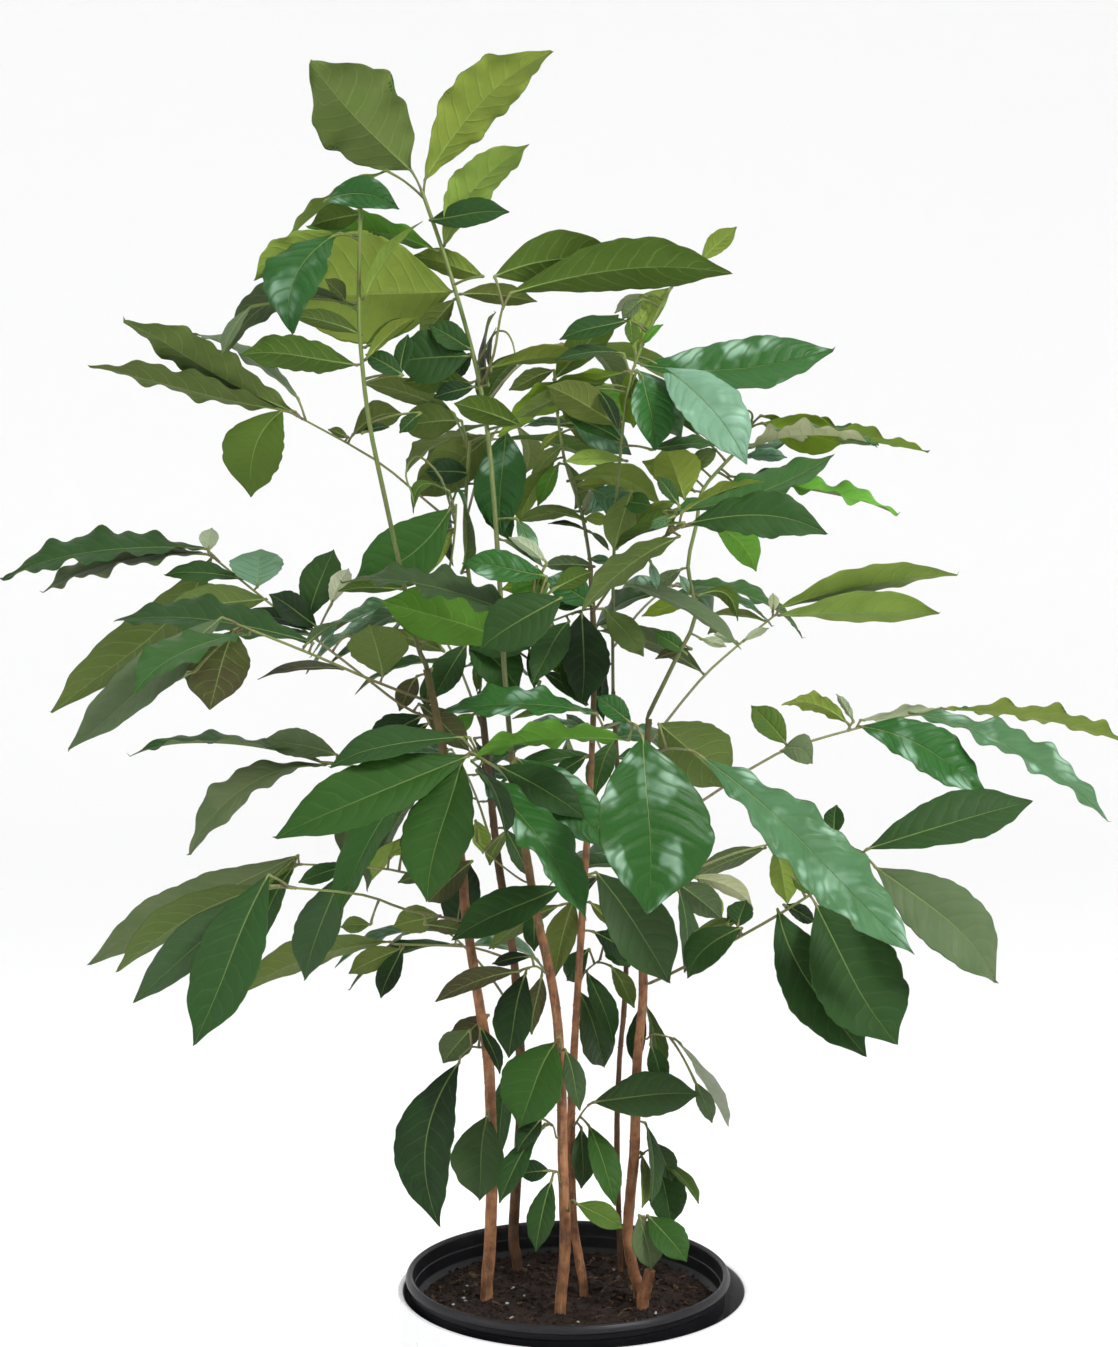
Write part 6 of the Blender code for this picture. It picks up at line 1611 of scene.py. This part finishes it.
def turned_mesh(name, profile, steps=144):
    """A closed mesh from a profile of radius and height, outside first, about the axis."""
    mesh = bpy.data.meshes.new(name)
    points, faces, rings = [], [], []
    for radius, height in profile:
        if radius < 1e-6:
            rings.append([len(points)] * steps)
            points.append((0.0, 0.0, height))
            continue
        rings.append([len(points) + i for i in range(steps)])
        points += [(x, y, height) for x, y in circle(radius, steps)]
    for low, high in zip(rings, rings[1:]):
        for i in range(steps):
            k = (i + 1) % steps
            corners = dict.fromkeys((low[i], low[k], high[k], high[i]))
            if len(corners) > 2:
                faces.append(tuple(corners))
    mesh.from_pydata(points, [], faces)
    work = bmesh.new()
    work.from_mesh(mesh)
    bmesh.ops.recalc_face_normals(work, faces=work.faces)
    work.to_mesh(mesh)
    work.free()
    mesh.shade_smooth()
    mesh.set_sharp_from_angle(angle=SHARP_EDGE)
    return mesh


def rounded(profile, radius, steps=6):
    """The profile with each inner corner rounded."""
    made = [profile[0]]
    for before, corner, after in zip(profile, profile[1:], profile[2:]):
        corner = Vector(corner)
        back, on = Vector(before) - corner, Vector(after) - corner
        reach = min(radius, 0.45 * back.length, 0.45 * on.length)
        start, end = corner + back.normalized() * reach, corner + on.normalized() * reach
        for i in range(steps + 1):
            s = i / steps
            point = start * (1 - s) ** 2 + corner * (2 * s * (1 - s)) + end * s**2
            made.append(tuple(point))
    return made + [profile[-1]]


GLAZED_WALL = 0.005
GLAZED_FLOOR = 0.010
GLAZED_HOLLOW = 0.0015  # under the foot


class PLANT_OT_cachepot(bpy.types.Operator):
    """Make the white glazed cachepot"""

    bl_idname = "plant.cachepot"
    bl_label = "Cachepot"

    def execute(self, context):
        looks = context.scene.plant_pots
        _, (outer, _, height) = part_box("cachepot")
        inner, floor, hollow = outer - GLAZED_WALL, GLAZED_FLOOR, GLAZED_HOLLOW
        profile = [(0.0, hollow), (outer - 0.012, hollow), (outer - 0.010, 0.0), (outer, 0.0),
                   (outer, height), (inner, height), (inner, floor), (0.0, floor)]
        made = new_object("cachepot_glazed",
                          turned_mesh("cachepot_glazed", rounded(profile, looks.edge), 192))
        made.data.materials.append(glaze_finish(looks))
        rests(made, "cachepot")
        return {"FINISHED"}


NURSERY_SHIFT = -0.0048
NURSERY_BASE = 0.01035
NURSERY_RIM = 0.250
FOOT_RADIUS = 0.098
BAND_RADIUS = 0.1275
LIP_RADIUS = 0.1315
WALL = 0.0022


def nursery_inner_radius(height):
    """Radius of the nursery pot's inside at this height."""
    share = (height - NURSERY_BASE) / (NURSERY_RIM - NURSERY_BASE)
    return FOOT_RADIUS + (BAND_RADIUS - 0.004 - FOOT_RADIUS) * share - WALL


class PLANT_OT_nursery_pot(bpy.types.Operator):
    """Make the black nursery pot with its stepped band and rolled lip"""

    bl_idname = "plant.nursery_pot"
    bl_label = "Nursery pot"

    def execute(self, context):
        looks = context.scene.plant_pots
        rim, band = NURSERY_RIM, NURSERY_RIM - 0.022
        foot = NURSERY_BASE + 0.003
        inside = [(LIP_RADIUS - 0.0034, rim - 0.0002), (BAND_RADIUS - WALL + 0.0004, rim - 0.0016),
                  (BAND_RADIUS - WALL, rim - 0.005), (BAND_RADIUS - WALL - 0.0004, rim - 0.012),
                  (BAND_RADIUS - WALL - 0.0012, rim - 0.0126), (BAND_RADIUS - WALL - 0.0014, band),
                  (nursery_inner_radius(band - 0.004), band - 0.004),
                  (nursery_inner_radius(foot), foot), (0.0, foot)]
        outside = [(0.0, NURSERY_BASE), (FOOT_RADIUS - 0.002, NURSERY_BASE),
                   (FOOT_RADIUS, NURSERY_BASE + 0.002),
                   (nursery_inner_radius(band - 0.006) + WALL, band - 0.006),
                   (BAND_RADIUS - 0.0006, band - 0.0045), (BAND_RADIUS, rim - 0.0125),
                   (BAND_RADIUS + 0.0008, rim - 0.0118), (BAND_RADIUS + 0.0010, rim - 0.0072),
                   (LIP_RADIUS - 0.0006, rim - 0.0068), (LIP_RADIUS, rim - 0.0055),
                   (LIP_RADIUS - 0.0004, rim - 0.0030), (LIP_RADIUS - 0.0016, rim - 0.0008),
                   (LIP_RADIUS - 0.0026, rim)]
        profile = rounded(outside + inside, 0.0008, 4)
        made = new_object("nursery_pot_plastic", turned_mesh("nursery_pot_plastic", profile))
        made.data.transform(Matrix.Translation((NURSERY_SHIFT, 0.0, 0.0)))
        made.data.materials.append(plastic_finish(looks))
        rests(made, "nursery_pot")
        return {"FINISHED"}


SOIL_LUMPS = ((0.0008, 420.0), (0.0014, 150.0), (0.0035, 55.0))  # height, number to a metre


def soil_height(x, y):
    """Height of the soil over its mean level."""
    return sum(high * noise.noise(Vector((x, y, 0.0)) * often) for high, often in SOIL_LUMPS)


def soil_mesh(name, rings, steps, edge, bottom):
    """A lumpy round surface, closed below where a bottom height is given."""
    points = [(0.0, 0.0, SOIL_TOP + soil_height(0.0, 0.0))]
    for i in range(1, rings + 1):
        calm = min(1.0, (rings - i) / 4.0 + 0.25)
        for x, y in circle(edge * i / rings, steps):
            points.append((x, y, SOIL_TOP + soil_height(x, y) * calm))
    levels = rings
    if bottom is not None:
        low = nursery_inner_radius(bottom) - GAP * 2
        points += [(x, y, bottom) for x, y in circle(low, steps)]
        levels += 1
    faces = [(0, 1 + j, 1 + (j + 1) % steps) for j in range(steps)]
    for i in range(levels - 1):
        for j in range(steps):
            k = (j + 1) % steps
            a, b = 1 + i * steps, 1 + (i + 1) * steps
            faces.append((a + j, b + j, b + k, a + k))
    if bottom is not None:
        last = 1 + (levels - 1) * steps
        faces.append(tuple(last + j for j in reversed(range(steps))))
    mesh = bpy.data.meshes.new(name)
    mesh.from_pydata(points, [], faces)
    mesh.transform(Matrix.Translation((NURSERY_SHIFT, 0.0, 0.0)))
    mesh.shade_smooth()
    return mesh


FINE_REACH = 0.003  # fine grains lie up to the pot's wall and coarse ones short of it
COARSE_REACH = -0.005
BARE_EDGE = 0.006
BED_BOTTOM = NURSERY_BASE + 0.0034


class PLANT_OT_soil(bpy.types.Operator):
    """Make the peat with its crumbs, bark chips and perlite"""

    bl_idname = "plant.soil"
    bl_label = "Soil"

    def execute(self, context):
        looks = context.scene.plant_soil
        edge = nursery_inner_radius(SOIL_TOP) - GAP * 2
        peat = peat_finish("peat", looks.peat, looks.peat_light, 160.0, 0.0012)
        bed = new_object("soil_bed", soil_mesh("soil_bed", 56, 120, edge, BED_BOTTOM))
        bed.data.materials.append(peat)
        rests(bed, "soil")
        tree = crumb_tree()
        area = math.pi * (edge - BARE_EDGE) ** 2
        chip = peat_finish("bark_chip", (0.022, 0.011, 0.006), (0.130, 0.075, 0.040), 300.0,
                           0.0006)
        white = peat_finish("perlite", (0.26, 0.24, 0.22), (0.60, 0.58, 0.55), 500.0, 0.0005)
        crumbs, crumb, chips = looks.crumbs, looks.crumb, looks.chips
        grains = [
            ("soil_crumbs", 0.6 * crumbs, (0.25,) * 3, (0.6,) * 3, crumb, 1, 3, peat),
            ("soil_lumps", 0.14 * crumbs, (0.4, 0.4, 0.3), (1.2, 1.0, 0.8), crumb, 2, 8, peat),
            ("soil_chips", chips / area, (0.8, 0.3, 0.14), (2.2, 0.7, 0.25), 0.0045, 2, 5, chip),
            ("soil_fibres", 2.4 * chips / area, (1.2, 0.10, 0.08), (3.2, 0.16, 0.10), 0.0040, 1,
             11, chip),
            ("soil_perlite", looks.perlite / area, (0.5,) * 3, (1.0,) * 3, 0.0018, 2, 6, white),
        ]
        inputs = ("Density", "Smallest", "Largest", "Size", "Roundness", "Seed", "Finish")
        for name, *values in grains:
            given = dict(zip(inputs, values))
            reach = edge + (FINE_REACH if given["Roundness"] == 1 else COARSE_REACH)
            made = new_object(name, soil_mesh(name, 30, 72, reach, None))
            grow_with(made, tree, **given)
            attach(made, "root")
        return {"FINISHED"}


class PLANT_OT_stems_and_leaves(bpy.types.Operator):
    """Make the trunks, and every shoot and stalk with its leaflets"""

    bl_idname = "plant.stems_and_leaves"
    bl_label = "Stems and leaves"

    def execute(self, context):
        looks, bark = context.scene.plant_leaves, context.scene.plant_bark
        stems, leafy = grow()
        tree = stem_tree()
        finishes = [leaf_top_finish("leaf_top", looks, False), leaf_under_finish(looks),
                    leaf_top_finish("leaf_top_glossy", looks, True)]
        brown = bark_finish(bark)
        stalk = stalk_finish("stalk", looks.stalk_low, looks.stalk_high, bark.bark_light)
        shoot = stalk_finish("shoot", looks.shoot_low, looks.shoot_high, bark.bark)
        for name in TRUNKS:
            made = new_object(f"{name}_bark", bpy.data.meshes.new(name))
            add_stems(made, tree, [stem_run(stems[name])], Sides=24, Steps=14,
                      Unevenness=2 * bark.unevenness, Pores=bark.pores, Finish=brown)
            rests(made, name)
        for name, blades in leafy.items():
            chance = random.Random(name)
            skin = Skin()
            young = name.startswith("shoot")
            runs = [stem_run(stems[name], YOUNG_THINNESS if young else 1.0)]
            for root, blade, tone in blades:
                skin.add(blade, tone, chance)
                runs.append(leaflet_run(root, blade))
            made = new_object(f"{name}_leaves", skin.mesh(name))
            for finish in finishes:
                made.data.materials.append(finish)
            if name in SPROUTS:
                runs.append(sprout_run(stems[name], SPROUTS[name]))
            add_stems(made, tree, runs, Sides=10, Steps=3, Unevenness=STALK_UNEVENNESS,
                      Pores=0.0, Finish=shoot if young else stalk)
            rests(made, name)
        return {"FINISHED"}


LENS = 56.8
FILM = 36.0
TILT = 87.12  # degrees up from straight down
LIGHTS_MEET = Vector((0.0, 0.0, 0.7))
BOWL = ((0.0, 0.0), (3.2, 0.0), (4.2, 0.16), (4.9, 0.72), (5.2, 1.6), (5.3, 3.6))


def soft_light(name, power, size, place):
    """A square soft light at a place, turned to the plant."""
    light = bpy.data.lights.new(name, "AREA")
    light.energy = power
    light.size = size
    made = new_object(name, light)
    made.location = place
    made.rotation_euler = (LIGHTS_MEET - Vector(place)).to_track_quat("-Z", "Y").to_euler()


class PLANT_OT_stage(bpy.types.Operator):
    """Make the plain floor, the soft lights and the camera"""

    bl_idname = "plant.stage"
    bl_label = "Stage"

    def execute(self, context):
        scene = context.scene
        looks = scene.plant_stage
        bowl = new_object("studio_floor", turned_mesh("studio_floor", rounded(BOWL, 0.5, 8), 96))
        floor = bowl.data
        floor.flip_normals()
        look = Finish("studio_floor")
        wash = look.clouds(0.7, 1.0).ramp(0.3, 0.7, 0.0, 0.3)
        floor.materials.append(look.done(look.blend(wash, looks.floor, (0.94, 0.94, 0.94)), 0.9))
        world = bpy.data.worlds.new("studio")
        world.use_nodes = True
        back = world.node_tree.nodes["Background"]
        back.inputs["Color"].default_value = (1.0, 1.0, 1.0, 1.0)
        back.inputs["Strength"].default_value = looks.room_light
        scene.world = world
        scene.view_settings.view_transform = "Standard"
        soft_light("key", looks.key, 0.5, (1.5, -1.6, 2.3))
        soft_light("fill", looks.fill, 1.8, (-2.4, -1.4, 1.4))
        soft_light("overhead", looks.fill, 2.0, (0.0, 0.4, 3.0))
        camera = bpy.data.cameras.new("camera")
        camera.lens = LENS
        camera.sensor_width = camera.sensor_height = FILM
        camera.sensor_fit = "VERTICAL"
        eye = new_object("camera", camera)
        eye.location = EYE
        eye.rotation_euler = (math.radians(TILT), 0.0, 0.0)
        scene.camera = eye
        return {"FINISHED"}


GROUPS = {
    "plant_leaves": LeafLooks,
    "plant_bark": BarkLooks,
    "plant_pots": PotLooks,
    "plant_soil": SoilLooks,
    "plant_stage": StageLooks,
}
OPERATORS = (
    PLANT_OT_cachepot, PLANT_OT_nursery_pot, PLANT_OT_soil, PLANT_OT_stems_and_leaves,
    PLANT_OT_stage,
)


class PLANT_PT_panel(bpy.types.Panel):
    """Sizes, colours and steps of the potted natal mahogany"""

    bl_idname = "PLANT_PT_panel"
    bl_label = "Potted Natal Mahogany"
    bl_space_type = "VIEW_3D"
    bl_region_type = "UI"
    bl_category = "Plant"

    def draw(self, context):
        for key, group in GROUPS.items():
            box = self.layout.box()
            looks = getattr(context.scene, key)
            for name in group.__annotations__:
                box.prop(looks, name)
        for operator in OPERATORS:
            self.layout.operator(operator.bl_idname)


def register():
    for made in (*GROUPS.values(), *OPERATORS, PLANT_PT_panel):
        bpy.utils.register_class(made)
    for key, group in GROUPS.items():
        setattr(bpy.types.Scene, key, PointerProperty(type=group))


def unregister():
    for key in GROUPS:
        delattr(bpy.types.Scene, key)
    for made in (PLANT_PT_panel, *reversed(OPERATORS), *reversed(GROUPS.values())):
        bpy.utils.unregister_class(made)


def main():
    register()
    bpy.ops.plant.cachepot()
    bpy.ops.plant.nursery_pot()
    bpy.ops.plant.soil()
    bpy.ops.plant.stems_and_leaves()
    bpy.ops.plant.stage()


if __name__ == "__main__":
    main()
